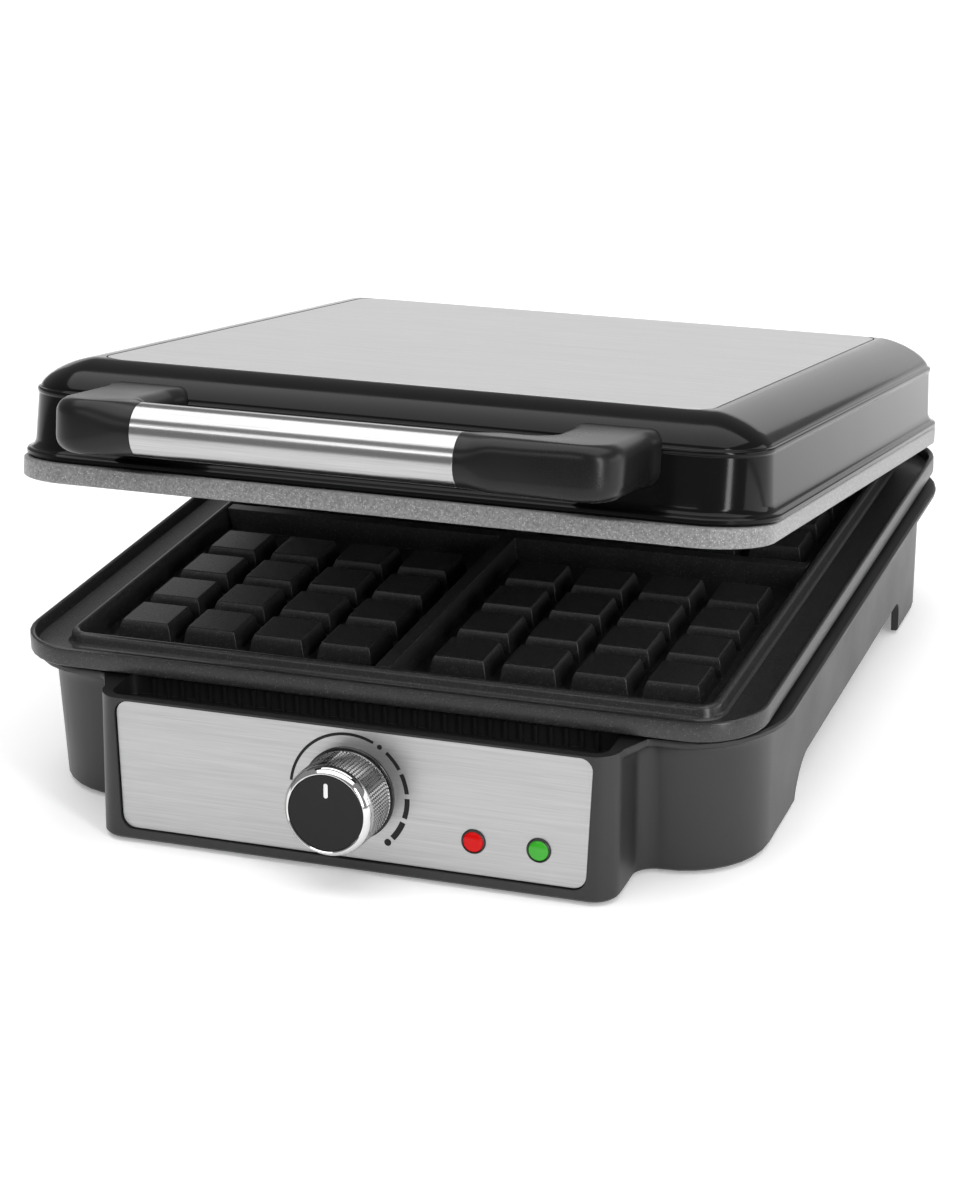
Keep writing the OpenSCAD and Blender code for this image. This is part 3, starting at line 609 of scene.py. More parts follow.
lid_plate_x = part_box("lid_top_plate")[1].x
lid_plate_y = lid_y - dome_w - 0.1 * mm
lid_plate_r = 9 * mm
lid_plate_t = 1 * mm
seat, top = oblong(lid_plate_x + 0.5 * mm, lid_plate_y + 0.5 * mm, lid_plate_r + 0.5 * mm, 6,
                   z=lid_top - lid_plate_t, y=mid_y)
climb(seat, top, 5 * mm)
carve(lid, seat)
hollow_in = 1.2 * mm + wall
hollow, top = oblong(lid_x - hollow_in, lid_y - hollow_in, lid_r - wall, z=lid_deck_z + 3.5 * mm, y=mid_y)
top = climb(hollow, top, 21 * mm)
climb(hollow, top, lid_top - lid_plate_t - wall - top.calc_center_median().z, -dome_w + 8 * mm)
carve(lid, hollow)
opening, top = oblong(opening_x, opening_y, opening_r, z=lid_deck_z - 5 * mm, y=mid_y)
climb(opening, top, 12 * mm)
carve(lid, opening)
about_hinge = Matrix.Rotation(ajar, 4, hinge_axis)
lid_swing = Matrix.Translation(hinge_at) @ about_hinge @ Matrix.Translation(-hinge_at)
lid.data.transform(lid_swing)
soften(lid, 0.35 * mm)
hand_over(lid, "lid", "lid_plastic", "lid_housing")

# %% [markdown]
# A knuckle reaches down from the lid's back wall and ends round its pin, with a hair of room.

# %% Knuckles on the lid
lid_back = mid_y + lid_y
front_y = hinge_at.y - knuckle_r
back_y = hinge_at.y + knuckle_r
knuckle_corners = [(front_y, hinge_at.z - knuckle_r), (back_y, hinge_at.z - knuckle_r),
                   (back_y, hinge_at.z + 3 * mm), (lid_back + 7 * mm, lid_deck_z + 20 * mm),
                   (lid_back - 2 * mm, lid_deck_z + 23 * mm), (lid_back - 2 * mm, lid_deck_z + 1 * mm),
                   (front_y, lid_deck_z + 1 * mm)]
round_end = knuckle_r - 0.05 * mm
knuckle_radii = [round_end, round_end, 2 * mm, 4 * mm, 1 * mm, 0.3 * mm, 0.5 * mm]
for side, hand in ((-1, "left"), (1, "right")):
    knuckle = finish_mesh(side_plate(knuckle_corners, knuckle_radii, side * hinge_x, knuckle_w),
                          f"hinge_knuckle_{hand}")
    start = (side * hinge_x - knuckle_w, hinge_at.y, hinge_at.z)
    carve(knuckle, rod(pin_r + 0.05 * mm, start, 2 * knuckle_w, (1, 0, 0)))
    knuckle.data.transform(lid_swing)
    hand_over(soften(knuckle, 0.5 * mm), "lid", "lid_plastic")

# %% [markdown]
# ## The steel plates
# Two sheets of brushed steel, one set in the lid and one in the leaning front. They are thin,
# so what shows is their rounded corners and the fine bright line along their edges.

# %% Steel plates
bm, face = oblong(lid_plate_x, lid_plate_y, lid_plate_r, 8, z=lid_top - lid_plate_t, y=mid_y)
climb(bm, face, lid_plate_t)
swing_open(bm)
hand_over(soften(finish_mesh(bm, "lid_steel_plate"), 0.2 * mm), "lid", "brushed_lid", "lid_top_plate")

bm, face = panel_outline(0, -panel_t)
climb(bm, face, panel_t)
front = finish_mesh(bm, "front_steel_panel")
for x, y, radius in holes:
    carve(front, rod(min(radius, bush_r), (x, y, -5 * mm), 10 * mm, UP))
front.data.transform(panel_frame)
hand_over(soften(front, 0.2 * mm), "base", "brushed_panel", "control_panel")

# %% [markdown]
# ## The handle
# A steel tube between two black end pieces, set to the left of the middle, so that the right
# end piece is the longer one. Each end piece is a row of rings: a circle where it meets the
# tube, then a rounded square that turns the corner about a point on its inner side and runs
# back to the lid. Joining ring to ring gives a skin without a single pinch. The tube itself is
# a spun section with a small chamfer at each end, laid along X.

# %% Handle bar
bar_r = 10 * mm
bar_half = 62.5 * mm
bar_mid = -12.5 * mm
bar_y = mid_y - half_d - 38 * mm
bar_z = closing_z + 29.8 * mm
bar_wall = 1 * mm
bar_edge = 0.3 * mm
section = [(bar_r - bar_wall, 0), (bar_r - bar_edge, 0), (bar_r, bar_edge), (bar_r, bar_half),
           (bar_r, 2 * bar_half - bar_edge), (bar_r - bar_edge, 2 * bar_half),
           (bar_r - bar_wall, 2 * bar_half)]
bm = spun(section, 64)
lay = Matrix.Translation((bar_mid - bar_half, bar_y, bar_z)) @ Matrix.Rotation(math.radians(90), 4, "Y")
bmesh.ops.transform(bm, matrix=lay, verts=bm.verts)
swing_open(bm)
hand_over(finish_mesh(bm, "handle_tube"), "lid", "polished_steel", "handle_bar")

# %% [markdown]
# The elbow's outside is a corner rounded by elbow_r. elbow_reach() measures from the pivot to
# it, and end_ring() sets one ring of points across the path. travelled counts the way from the
# tube, so the change from circle to rounded square takes the same length on both sides.

# %% Handle ends
end_x = 109 * mm
arm_w = 32 * mm
arm_in = end_x - arm_w
elbow_r = 13 * mm
end_half_h = 10.2 * mm
end_corner = 6 * mm
lid_front = mid_y - lid_y


def elbow_reach(pivot, turn):
    """Distance from the pivot to the outside of the elbow, for one turn about the pivot."""
    way = Vector((math.sin(turn), -math.cos(turn)))
    down = (pivot.y - bar_y + bar_r) / max(-way.y, 1e-6)
    across = (end_x - pivot.x) / max(way.x, 1e-6)
    reach = min(down, across)
    middle = Vector((end_x - elbow_r, bar_y - bar_r + elbow_r))
    spot = pivot + way * reach
    if spot.x > middle.x and spot.y < middle.y:
        gap = pivot - middle
        half = gap.dot(way)
        reach = -half + math.sqrt(half * half - gap.length_squared + elbow_r * elbow_r)
    return reach


def end_ring(bm, middle, way, half_w, half_h, corner):
    """A ring of points round a rounded rectangle that stands across the handle's path."""
    ring = []
    for sign_w, sign_h, start in ((1, 1, 0), (-1, 1, 90), (-1, -1, 180), (1, -1, 270)):
        for step in range(8):
            turn = math.radians(start + step * 90 / 7)
            along = sign_w * (half_w - corner) + corner * math.cos(turn)
            height = sign_h * (half_h - corner) + corner * math.sin(turn)
            ring.append(bm.verts.new((middle.x + way.x * along, middle.y + way.y * along, bar_z + height)))
    return ring


def handle_end(side):
    """One end piece; side is -1 for the left one, which is mirrored."""
    bar_end = bar_half + side * bar_mid
    inner_r = min(7 * mm, arm_in - bar_end)
    pivot = Vector((arm_in - inner_r, bar_y + bar_r + inner_r))
    stops = []
    lead = max(1, int((pivot.x - bar_end) / (2 * mm)))
    for k in range(lead):
        stops.append((Vector((bar_end + (pivot.x - bar_end) * k / lead, bar_y)), Vector((0, -1)), bar_r))
    turns = 20
    for k in range(turns + 1):
        turn = math.radians(90 * k / turns)
        way = Vector((math.sin(turn), -math.cos(turn)))
        reach = elbow_reach(pivot, turn)
        stops.append((pivot + way * (inner_r + reach) / 2, way, (reach - inner_r) / 2))
    arm_mid = (arm_in + end_x) / 2
    arm_steps = 10
    arm_end = lid_front + 6 * mm
    for k in range(1, arm_steps + 1):
        y = pivot.y + (arm_end - pivot.y) * k / arm_steps
        flare = smooth_step(y, lid_front - 5 * mm, lid_front + 1 * mm) * 2 * mm
        stops.append((Vector((arm_mid, y)), Vector((1, 0)), arm_w / 2 + flare))
    bm = bmesh.new()
    travelled = 0.0
    rings = []
    for k, (middle, way, half_w) in enumerate(stops):
        travelled += (middle - stops[max(k - 1, 0)][0]).length
        square = smooth_step(travelled, 1 * mm, 14 * mm)
        corner = bar_r + (end_corner - bar_r) * square
        half_h = bar_r + (end_half_h - bar_r) * square
        rings.append(end_ring(bm, middle, way, half_w, half_h, min(corner, half_w)))
    for before, after in zip(rings, rings[1:]):
        for k in range(len(before)):
            bm.faces.new((before[k - 1], before[k], after[k], after[k - 1]))
    bm.faces.new(rings[0])
    bm.faces.new(rings[-1][::-1])
    if side < 0:
        bmesh.ops.scale(bm, verts=bm.verts, vec=(-1, 1, 1))
    return bm


for side, hand in ((-1, "left"), (1, "right")):
    bm = handle_end(side)
    swing_open(bm)
    hand_over(finish_mesh(bm, f"handle_end_{hand}"), "lid", "handle_plastic", f"handle_{hand}_end")

# %% [markdown]
# ## The knob
# A chromed sleeve with a knurled grip and a bright sloping ring round a black face. The
# ring is a spun section. The grip is a grid of small faces round a tube, each poked into a
# little pyramid, which is how a knurling wheel marks real metal.

# %% Knob shell
knob_r = 17.5 * mm
face_r = 14.9 * mm
knob_depth = 23 * mm
knob_gap = 1.2 * mm
grip_low = knob_gap + 1.2 * mm
grip_high = knob_depth - 4.2 * mm
section = [(knob_r - 2 * mm, knob_gap), (knob_r - 0.3 * mm, knob_gap), (knob_r, knob_gap + 0.3 * mm),
           (knob_r, grip_low), (knob_r - 0.35 * mm, grip_low + 0.1 * mm),
           (knob_r - 0.35 * mm, grip_high - 0.1 * mm), (knob_r, grip_high), (knob_r, knob_depth - 3.3 * mm),
           (knob_r - 0.25 * mm, knob_depth - 2.3 * mm), (knob_r - 0.9 * mm, knob_depth - 1.2 * mm),
           (knob_r - 1.7 * mm, knob_depth - 0.3 * mm), (face_r + 0.5 * mm, knob_depth),
           (face_r + 0.1 * mm, knob_depth - 0.2 * mm), (face_r, knob_depth - 1.6 * mm),
           (3 * mm, knob_depth - 1.6 * mm), (3 * mm, knob_depth - 3.2 * mm),
           (knob_r - 2 * mm, knob_depth - 4 * mm)]
bm = spun(section)
onto_panel(bm)
hand_over(finish_mesh(bm, "knob_sleeve"), "knob", "chrome", "knob_shell")

# %% [markdown]
# The grip starts as one upright edge, cut into rows and spun into a grid. The rim of the grid
# is drawn in a little at both ends, so no light shows under it.

# %% Knurled grip
around = 78
rows = 10
ridge_h = 0.55 * mm
grip_r = knob_r - 0.3 * mm
drawn_in = 0.97
bm = bmesh.new()
foot = bm.verts.new((grip_r, 0, grip_low + 0.1 * mm))
tip = bm.verts.new((grip_r, 0, grip_high - 0.1 * mm))
upright = bm.edges.new((foot, tip))
bmesh.ops.subdivide_edges(bm, edges=[upright], cuts=rows - 1)
bmesh.ops.spin(bm, geom=list(bm.verts) + list(bm.edges), cent=(0, 0, 0), axis=UP, angle=math.tau,
               steps=around, use_merge=True)
bmesh.ops.recalc_face_normals(bm, faces=bm.faces)
outward = 1 if bm.faces[0].normal.dot(Vector((*bm.faces[0].calc_center_median().xy, 0))) > 0 else -1
bmesh.ops.poke(bm, faces=bm.faces, offset=outward * ridge_h, center_mode="MEAN")
inner = bmesh.ops.extrude_edge_only(bm, edges=[e for e in bm.edges if e.is_boundary])["geom"]
for vert in [item for item in inner if isinstance(item, bmesh.types.BMVert)]:
    vert.co.x *= drawn_in
    vert.co.y *= drawn_in
onto_panel(bm)
grip = finish_mesh(bm, "knob_grip")
grip.data.shade_flat()
# The grip wears chrome toned darker than the sleeve's, which paints the shade that falls in the knurling.
hand_over(grip, "knob", "knurl_chrome_painted_shade")

# %% [markdown]
# The black face sits inside the ring with a slight hollow towards its middle, and the pointer
# is a short white bar with round ends, set into it.

# %% Knob face and pointer
section = [(0, knob_depth - 1.6 * mm), (face_r - 0.05 * mm, knob_depth - 1.6 * mm),
           (face_r - 0.05 * mm, knob_depth - 0.5 * mm), (face_r - 0.35 * mm, knob_depth - 0.25 * mm),
           (face_r - 1.2 * mm, knob_depth - 0.3 * mm), (face_r * 0.5, knob_depth - 0.55 * mm),
           (0, knob_depth - 0.6 * mm)]
bm = spun(section, closed=False)
onto_panel(bm)
hand_over(finish_mesh(bm, "knob_disc"), "knob", "knob_black", "knob_face")

pointer_l = 5.7 * mm
pointer_w = 1.6 * mm
pointer_mid = 5.8 * mm + pointer_l / 2
bm, face = oblong(pointer_w / 2, pointer_l / 2, 0.78 * mm, 6, z=knob_depth - 0.8 * mm, y=pointer_mid)
face = climb(bm, face, 0.42 * mm)
climb(bm, face, 0.06 * mm, -0.1 * mm)
onto_panel(bm)
hand_over(finish_mesh(bm, "knob_mark"), "knob", "pointer_white", "knob_pointer")

# %% [markdown]
# ## The printed scale
# Round the knob runs a printed scale: a long thin line that starts low on the left, then four
# bars that grow thicker as the heat rises, with a dot before and after them. Ink has almost no
# thickness, so each mark is a strip spun about the knob's axis and lifted by a hair.

# %% Scale marks
scale_r = 23.4 * mm
ink = 0.06 * mm


def arc_mark(bm, start, end, width):
    """A printed bar between two clock angles, in degrees to the right of straight up."""
    turn = math.radians(90 - start)
    near, far = scale_r - width / 2, scale_r + width / 2
    spots = [bm.verts.new((r * math.cos(turn), r * math.sin(turn), z))
             for r, z in ((near, 0.005 * mm), (far, 0.005 * mm), (far, ink), (near, ink))]
    bm.faces.new(spots)
    edges = [e for e in bm.edges if all(v in spots for v in e.verts)]
    steps = max(3, int(abs(end - start) / 2.5))
    swept = bmesh.ops.spin(bm, geom=spots + edges, cent=(0, 0, 0), axis=-UP,
                           angle=math.radians(end - start), steps=steps)
    bm.faces.new([item for item in swept["geom_last"] if isinstance(item, bmesh.types.BMVert)])


def dot_mark(bm, angle, radius):
    """A printed dot at a clock angle."""
    turn = math.radians(90 - angle)
    middle = Matrix.Translation((scale_r * math.cos(turn), scale_r * math.sin(turn), ink / 2))
    bmesh.ops.create_cone(bm, cap_ends=True, segments=20, radius1=radius, radius2=radius, depth=ink,
                          matrix=middle)


bm = bmesh.new()
arc_mark(bm, -84, 25, 1.15 * mm)
dot_mark(bm, 32, 1.0 * mm)
first_bar = 40
bar_step = 24
bar_turn = 19.5
for k in range(4):
    start = first_bar + k * bar_step
    arc_mark(bm, start, start + bar_turn, (1.4 + 0.3 * k) * mm)
dot_mark(bm, 138, 1.4 * mm)
onto_panel(bm)
hand_over(finish_mesh(bm, "printed_scale"), "base", "knob_black")

# %% [markdown]
# ## The lamps
# Each indicator lamp is a domed tinted lens in a thin black ring. Both are spun sections: the
# ring has a rounded top that catches a small highlight.

# %% Lamp rings and lenses
ring_r = 4.8 * mm
lens_r = 3.9 * mm
lens_depth = 3.3 * mm
dome_base = 0.55 * mm
dome_rise = 1.1 * mm


def spun_on_panel(section, name, place=(0, 0, 0), steps=48, closed=True):
    """Spin a section and stand it on the panel."""
    bm = spun(section, steps, closed)
    bmesh.ops.translate(bm, verts=bm.verts, vec=place)
    onto_panel(bm)
    return finish_mesh(bm, name)


ring = [(lens_r, 0), (ring_r, 0), (ring_r, 0.35 * mm), (ring_r - 0.2 * mm, 0.75 * mm),
        (ring_r - 0.45 * mm, 0.9 * mm), (lens_r + 0.15 * mm, 0.8 * mm), (lens_r, 0.5 * mm)]
turns = [k * math.pi / 16 for k in range(8)]
dome = [(lens_r * math.cos(turn), dome_base + dome_rise * math.sin(turn)) for turn in turns]
lens = [(0, -lens_depth), (lens_r - 0.02 * mm, -lens_depth)] + dome + [(0, dome_base + dome_rise)]
for x, tint in zip(lamp_x, ("red", "green")):
    place = (x, -lamp_drop, 0)
    bezel = spun_on_panel(ring, f"{tint}_lamp_ring", place)
    hand_over(bezel, "base", "bezel_plastic", "lamp_bezels")
    glass = spun_on_panel(lens, f"{tint}_lens", place, closed=False)
    hand_over(glass, "base", f"{tint}_lens", f"{tint}_lamp_lens")

# %% [markdown]
# A thin black ring on the panel round the foot of the knob is painted shadow: it stands in for the shade in the
# gap under the knob. It is wider than the knob by a hair, so it reads as a dark line round the knurling.

# %% Knob collar, a painted shadow ring
shadow_ring_r = knob_r + 0.9 * mm
shadow_ring_in = knob_r - 2 * mm
shadow_ring_h = 0.8 * mm
chamfer = 0.3 * mm
section = [(shadow_ring_in, 0), (shadow_ring_r, 0), (shadow_ring_r, shadow_ring_h - chamfer), (shadow_ring_r - chamfer, shadow_ring_h),
           (shadow_ring_in, shadow_ring_h)]
# This black ring paints the shadow in the gap under the knob; it is not a part of the appliance.
hand_over(spun_on_panel(section, "knob_shadow_ring", steps=96), "base", "bezel_plastic")

# %% [markdown]
# ## Shader groups
# Effects that several finishes share are node groups with named inputs. Each group gives only
# what varies over a surface: a colour, a roughness and a height for bumps. Even values, such as
# the metallic share, are set on the material's own shader. Patterns read Object coordinates, so
# they ride with the lid and never slide.

# %% Group tools
TONES = [("Tone low", "Color", (0.02, 0.02, 0.02, 1)), ("Tone high", "Color", (0.04, 0.04, 0.04, 1)),
         ("Rough low", "Float", 0.3), ("Rough high", "Float", 0.5)]


def group_shell(name, more=()):
    """A node group that takes Vector, the tones and more, and gives three varying outputs."""
    tree = bpy.data.node_groups.new(name, "ShaderNodeTree")
    tree.interface.new_socket(name="Vector", in_out="INPUT", socket_type="NodeSocketVector")
    for label, kind, value in [*TONES, *more]:
        kind = "NodeSocket" + kind
        socket = tree.interface.new_socket(name=label, in_out="INPUT", socket_type=kind)
        socket.default_value = value
    for label, kind in (("Color", "Color"), ("Roughness", "Float"), ("Height", "Float")):
        tree.interface.new_socket(name=label, in_out="OUTPUT", socket_type="NodeSocket" + kind)
    return tree, tree.nodes.new("NodeGroupInput").outputs, tree.nodes.new("NodeGroupOutput").inputs


def feed(tree, node, *settings):
    """Set a node's inputs, each to a number or from another node's output."""
    for label, value in settings:
        if isinstance(value, (int, float)):
            node.inputs[label].default_value = value
        else:
            tree.links.new(value, node.inputs[label])


def noise(tree, vector, scale, detail=2.0, roughness=0.5):
    """A noise texture's value."""
    node = tree.nodes.new("ShaderNodeTexNoise")
    feed(tree, node, ("Vector", vector), ("Scale", scale), ("Detail", detail), ("Roughness", roughness))
    return node.outputs["Fac"]


def maths(tree, operation, first, second):
    """One sum on two values."""
    node = tree.nodes.new("ShaderNodeMath")
    node.operation = operation
    feed(tree, node, (0, first), (1, second))
    return node.outputs[0]


def spread(tree, value, low, high, out_low, out_high):
    """Map a value from one range to another, clamped."""
    node = tree.nodes.new("ShaderNodeMapRange")
    feed(tree, node, ("Value", value), ("From Min", low), ("From Max", high), ("To Min", out_low),
         ("To Max", out_high))
    return node.outputs["Result"]


def blend_tones(tree, share, first, second):
    """Mix two colour sockets by a share."""
    node = tree.nodes.new("ShaderNodeMix")
    node.data_type = "RGBA"
    tree.links.new(share, node.inputs["Factor"])
    colours = [socket for socket in node.inputs if socket.type == "RGBA"]
    tree.links.new(first, colours[0])
    tree.links.new(second, colours[1])
    return next(socket for socket in node.outputs if socket.type == "RGBA")


def stretched(tree, vector, scale):
    """Coordinates squeezed by a different amount along each axis."""
    node = tree.nodes.new("ShaderNodeMapping")
    node.inputs["Scale"].default_value = scale
    tree.links.new(vector, node.inputs["Vector"])
    return node.outputs["Vector"]


def give(tree, result, colour, rough, height):
    """Link a group's three outputs."""
    for label, value in (("Color", colour), ("Roughness", rough), ("Height", height)):
        tree.links.new(value, result[label])
    return tree


# %% Moulded skin: fine grain over slow changes of tone
tree, given, result = group_shell("moulded_skin", [("Grain", "Float", 2500.0)])
slow = noise(tree, given["Vector"], 26.0, 3)
fine = noise(tree, given["Vector"], given["Grain"])
share = spread(tree, slow, 0.3, 0.7, 0, 1)
colour = blend_tones(tree, share, given["Tone low"], given["Tone high"])
both = maths(tree, "MULTIPLY", slow, spread(tree, fine, 0.2, 0.8, 0.8, 1.2))
rough = spread(tree, both, 0.3, 0.7, given["Rough low"], given["Rough high"])
moulded_skin = give(tree, result, colour, rough, fine)

# %% Brushed lines: long scratches along X
tree, given, result = group_shell("brushed_lines")
hair = noise(tree, stretched(tree, given["Vector"], (45, 3600, 3600)), 1.0, 2, 0.6)
streak = noise(tree, stretched(tree, given["Vector"], (14, 1300, 1300)), 1.0, 3, 0.6)
mixed = maths(tree, "ADD", hair, streak)
share = spread(tree, mixed, 0.7, 1.3, 0, 1)
colour = blend_tones(tree, share, given["Tone low"], given["Tone high"])
rough = spread(tree, mixed, 0.7, 1.3, given["Rough high"], given["Rough low"])
brushed_lines = give(tree, result, colour, rough, mixed)

# %% Speckled coat: light flecks in a dark non-stick coating
FLECKS = [("Fleck", "Color", (0.3, 0.3, 0.3, 1)), ("Fleck share", "Float", 0.3)]
tree, given, result = group_shell("speckled_coat", FLECKS)
grit = noise(tree, given["Vector"], 900.0, 3, 0.7)
cloud = noise(tree, given["Vector"], 2600.0)
cells = tree.nodes.new("ShaderNodeTexVoronoi")
feed(tree, cells, ("Scale", 1400.0), ("Vector", given["Vector"]))
sprinkle = tree.nodes.new("ShaderNodeSeparateColor")
feed(tree, sprinkle, ("Color", cells.outputs["Color"]))
chosen = maths(tree, "LESS_THAN", sprinkle.outputs[0], given["Fleck share"])
spot = maths(tree, "MULTIPLY", chosen, spread(tree, cells.outputs["Distance"], 0.15, 0.42, 1, 0))
share = spread(tree, grit, 0.35, 0.65, 0, 1)
ground = blend_tones(tree, share, given["Tone low"], given["Tone high"])
colour = blend_tones(tree, spot, ground, given["Fleck"])
rough = spread(tree, cloud, 0.3, 0.7, given["Rough low"], given["Rough high"])
speckled_coat = give(tree, result, colour, rough, grit)
print("groups", [g.name for g in bpy.data.node_groups])

# %% [markdown]
# ## Finishes
# Tones are given as light and dark ends of the same colour.

# %% Finish tool
finishes = {}


def finish(name, group, low, high, rough, metallic=0.0, bump=0.1, depth=0.05, shader=(), extra=()):
    """A material from a shared group; shader sets sockets of the Principled BSDF."""
    material = bpy.data.materials.new(name)
    material.use_nodes = True
    tree = material.node_tree
    principled = next(n for n in tree.nodes if n.type == "BSDF_PRINCIPLED")
    place = tree.nodes.new("ShaderNodeTexCoord")
    pattern = tree.nodes.new("ShaderNodeGroup")
    pattern.node_tree = group
    relief = tree.nodes.new("ShaderNodeBump")
    settings = [(pattern, "Tone low", (*low, 1)), (pattern, "Tone high", (*high, 1)),
                (pattern, "Rough low", rough[0]), (pattern, "Rough high", rough[1]),
                (relief, "Strength", bump), (relief, "Distance", depth * mm),
                (principled, "Metallic", metallic)]
    settings += [(pattern, *item) for item in extra] + [(principled, *item) for item in shader]
    for node, label, value in settings:
        node.inputs[label].default_value = value
    feed(tree, pattern, ("Vector", place.outputs["Object"]))
    feed(tree, relief, ("Height", pattern.outputs["Height"]))
    feed(tree, principled, ("Normal", relief.outputs["Normal"]), ("Base Color", pattern.outputs["Color"]),
         ("Roughness", pattern.outputs["Roughness"]))
    finishes[name] = material
    return material


def grey(value, warm=0.0):
    """A near-neutral tone."""
    return (value * (1 + warm), value, value * (1 - warm))


# %% [markdown]
# The plastics: the base is semi-matte charcoal, the lid is glossy black, the handle ends are
# satin black. Roughness and grain tell them apart, and IOR sets how strongly they reflect.

# %% Plastics and rubber
finish("base_plastic", moulded_skin, grey(0.012), grey(0.016), (0.36, 0.46), bump=0.12, depth=0.03,
       extra=[("Grain", 1800.0)])
finish("lid_plastic", moulded_skin, grey(0.003), grey(0.004), (0.10, 0.15), bump=0.02, depth=0.02,
       shader=[("IOR", 1.26)])
finish("handle_plastic", moulded_skin, grey(0.006), grey(0.009), (0.26, 0.34), bump=0.04, depth=0.02,
       shader=[("IOR", 1.34)])
finish("bezel_plastic", moulded_skin, grey(0.008), grey(0.012), (0.18, 0.26), bump=0.03)
finish("knob_black", moulded_skin, grey(0.006), grey(0.009), (0.42, 0.52), bump=0.1, depth=0.02,
       shader=[("IOR", 1.36)])
finish("pointer_white", moulded_skin, grey(0.80), grey(0.88), (0.35, 0.45), bump=0.04, depth=0.02)
finish("cover_plastic", moulded_skin, grey(0.022), grey(0.030), (0.5, 0.62), bump=0.2)
finish("rubber", moulded_skin, grey(0.016), grey(0.024), (0.7, 0.85), bump=0.3, extra=[("Grain", 1400.0)])
finish("holder_plastic", moulded_skin, grey(0.70, 0.02), grey(0.78, 0.02), (0.4, 0.5))
finish("ceramic_white", moulded_skin, grey(0.74, 0.03), grey(0.82, 0.03), (0.25, 0.4), bump=0.05)
finish("thermostat_body", moulded_skin, grey(0.60, 0.06), grey(0.70, 0.06), (0.4, 0.55), bump=0.1)
finish("wire_sleeve", moulded_skin, grey(0.62, 0.04), grey(0.76, 0.04), (0.7, 0.85), bump=0.4,
       extra=[("Grain", 900.0)])

# %% [markdown]
# The metals: brushed sheet has long hair lines along its width, the tube of the handle is
# smoother and darker, and chrome is nearly a mirror.

# %% Metals
finish("brushed_panel", brushed_lines, grey(0.43), grey(0.51), (0.32, 0.40), 1.0, 0.10, 0.02)
finish("brushed_lid", brushed_lines, grey(0.57), grey(0.67), (0.34, 0.42), 1.0, 0.10, 0.02)
finish("polished_steel", brushed_lines, grey(0.40), grey(0.50), (0.14, 0.24), 1.0, 0.15, 0.02)
# The knurled grip's chrome is a darker copy of the sleeve's chrome; the darker tone is painted shade for its
# grooves.
finish("knurl_chrome_painted_shade", moulded_skin, grey(0.24), grey(0.32), (0.10, 0.18), 1.0, 0.02, 0.02)
finish("chrome", moulded_skin, grey(0.66), grey(0.72), (0.05, 0.10), 1.0, 0.02, 0.02)
finish("pin_steel", brushed_lines, grey(0.48), grey(0.60), (0.22, 0.34), 1.0, 0.1, 0.02)
finish("screw_steel", moulded_skin, grey(0.46, 0.02), grey(0.58, 0.02), (0.25, 0.4), 1.0, 0.1, 0.02)
finish("heater_sheath", moulded_skin, grey(0.20, 0.06), grey(0.30, 0.06), (0.4, 0.6), 1.0, 0.2, 0.03)
finish("sheet_aluminium", brushed_lines, grey(0.60), grey(0.72), (0.3, 0.45), 1.0, 0.1, 0.02)

# %% [markdown]
# Both plates wear the same kind of cast, speckled non-stick coating. The flecks are small
# cells that only some of the Voronoi pattern's cells turn on.

# %% Non-stick coats
finish("nonstick_dark", speckled_coat, grey(0.018), grey(0.030), (0.26, 0.38), 0.0, 0.25, 0.05,
       extra=[("Fleck", (0.10, 0.10, 0.104, 1)), ("Fleck share", 0.22)])
finish("nonstick_grey", speckled_coat, grey(0.14), grey(0.27), (0.30, 0.42), 0.0, 0.3, 0.05,
       extra=[("Fleck", (0.48, 0.48, 0.49, 1)), ("Fleck share", 0.34)])

# %% [markdown]
# The lamps glow a little of their own colour, which is what makes a tinted lens look clear
# and not painted. The neon capsules behind them are glass.

# %% Lamps and glass
finish("red_lens", moulded_skin, (0.30, 0.001, 0.001), (0.38, 0.001, 0.002), (0.12, 0.2), bump=0.05,
       shader=[("IOR", 1.3), ("Emission Color", (1.0, 0.001, 0.001, 1)), ("Emission Strength", 0.3)])
finish("green_lens", moulded_skin, (0.02, 0.24, 0.01), (0.03, 0.32, 0.015), (0.12, 0.2), bump=0.05,
       shader=[("Emission Color", (0.03, 0.5, 0.01, 1)), ("Emission Strength", 0.22)])
finish("neon_glass", moulded_skin, (0.9, 0.55, 0.35), (0.95, 0.65, 0.45), (0.04, 0.08), bump=0.0,
       shader=[("Transmission Weight", 0.8)])
print("finishes", len(finishes))

# %% [markdown]
# ## Dress everything
# New pieces take the finish that their slot names. CAD nodes that keep their own shape take
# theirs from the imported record, so no node is left with a flat colour.

# %% Dress pieces and nodes
for name, slot in pieces.items():
    bpy.data.objects[name].data.materials.clear()
    bpy.data.objects[name].data.materials.append(finishes[slot])
for part in frame["record"]["subparts"]:
    node = frame["nodes"][part["node"]]
    if not node.material_slots:
        node.data.materials.append(finishes[part["material_slot"]])
    for slot in node.material_slots:
        slot.material = finishes[part["material_slot"]]
print("dressed", len(pieces), "pieces and", len(frame["nodes"]), "nodes")

# %% [markdown]
# ## Studio
# A pale floor runs far behind the appliance, and glows a little, so the shadow stays faint.
# Glossy black shows only what it reflects, so the lights are large soft boxes: one high above
# for the steel, a low one far behind, one wide box on the right that turns the lid's side grey,
# a narrow tall one for the bright streak on the corner, and a dim one at the front.

# %% Floor
bm = bmesh.new()
bmesh.ops.create_grid(bm, x_segments=8, y_segments=8, size=6)
floor = finish_mesh(bm, "floor")
floor_paint = finish("floor_paint", moulded_skin, grey(0.94), grey(0.95), (0.75, 0.85), bump=0.0,
                     shader=[("Emission Color", (1, 1, 1, 1)), ("Emission Strength", 0.24)])
floor.data.materials.append(floor_paint)
floor.location.z = 0

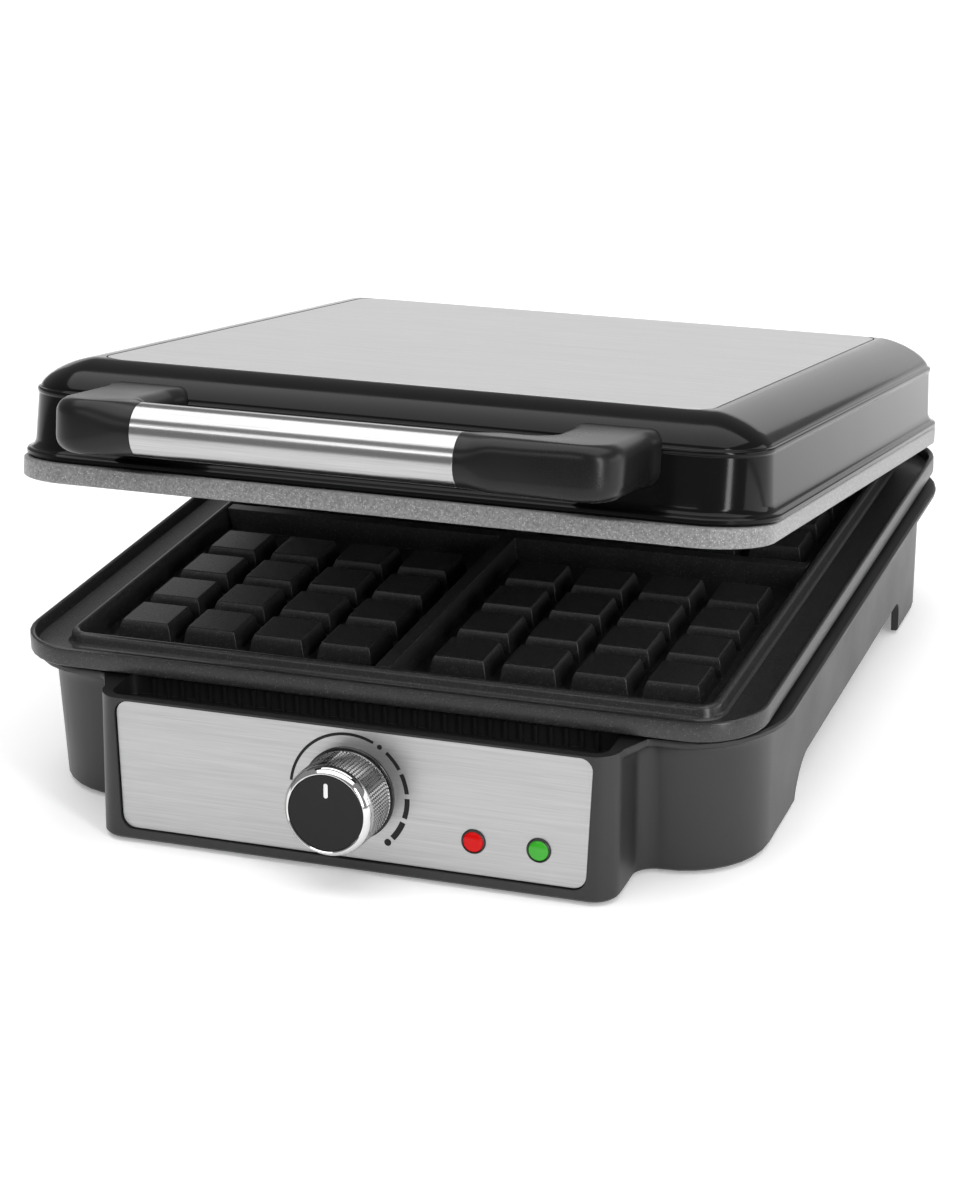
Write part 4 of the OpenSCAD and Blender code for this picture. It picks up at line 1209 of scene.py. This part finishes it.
# %% Lights
world = bpy.data.worlds.new("studio")
bpy.context.scene.world = world
world.use_nodes = True
background = next(n for n in world.node_tree.nodes if n.type == "BACKGROUND")
background.inputs["Color"].default_value = (1, 1, 1, 1)
background.inputs["Strength"].default_value = 0.30


def softbox(name, at, aim, width, height, power):
    """A rectangular white light at one point, facing another."""
    light = bpy.data.lights.new(name, "AREA")
    light.shape = "RECTANGLE"
    light.size = width
    light.size_y = height
    light.energy = power
    lamp = bpy.data.objects.new(name, light)
    lamp.location = at
    lamp.rotation_euler = (Vector(aim) - Vector(at)).to_track_quat("-Z", "Y").to_euler()
    bpy.context.scene.collection.objects.link(lamp)


softbox("top_box", (0.0, 0.1, 2.2), (0, 0, 0.1), 3.4, 2.6, 58)
softbox("back_box", (-0.9, 3.2, 0.55), (0, 0, 0.2), 3.2, 1.1, 8)
softbox("right_box", (2.0, 0.6, 0.5), (0, 0.05, 0.0), 2.2, 0.8, 10)
softbox("front_strip", (1.05, -0.9, 0.55), (0.1, -0.1, 0.1), 0.18, 0.9, 7)
softbox("front_box", (-0.8, -2.6, 1.8), (0, 0, 0.1), 1.6, 0.6, 7)

# %% [markdown]
# ## Camera
# The camera looks down at the right-hand front corner with a long lens, which keeps upright
# edges nearly parallel. Its place, turn and lens are set as plain numbers.

# %% Camera
camera_at = Vector((0.41524, -1.15322, 0.53140))
azimuth = math.radians(20.192)
elevation = math.radians(21.708)
roll = math.radians(-1.497)
forward = Vector((-math.sin(azimuth) * math.cos(elevation), math.cos(azimuth) * math.cos(elevation),
                  -math.sin(elevation)))
right = Vector((math.cos(azimuth), math.sin(azimuth), 0))
upward = right.cross(forward)
tilted_right = right * math.cos(roll) + upward * math.sin(roll)
tilted_up = upward * math.cos(roll) - right * math.sin(roll)
lens = bpy.data.cameras.new("camera")
lens.lens = 94.19
lens.sensor_width = 36
lens.clip_end = 50
camera = bpy.data.objects.new("camera", lens)
camera_turn = Matrix((tilted_right, tilted_up, -forward)).transposed().to_4x4()
camera.matrix_world = Matrix.Translation(camera_at) @ camera_turn
bpy.context.scene.collection.objects.link(camera)
bpy.context.scene.camera = camera
bpy.context.scene.view_settings.view_transform = "Standard"
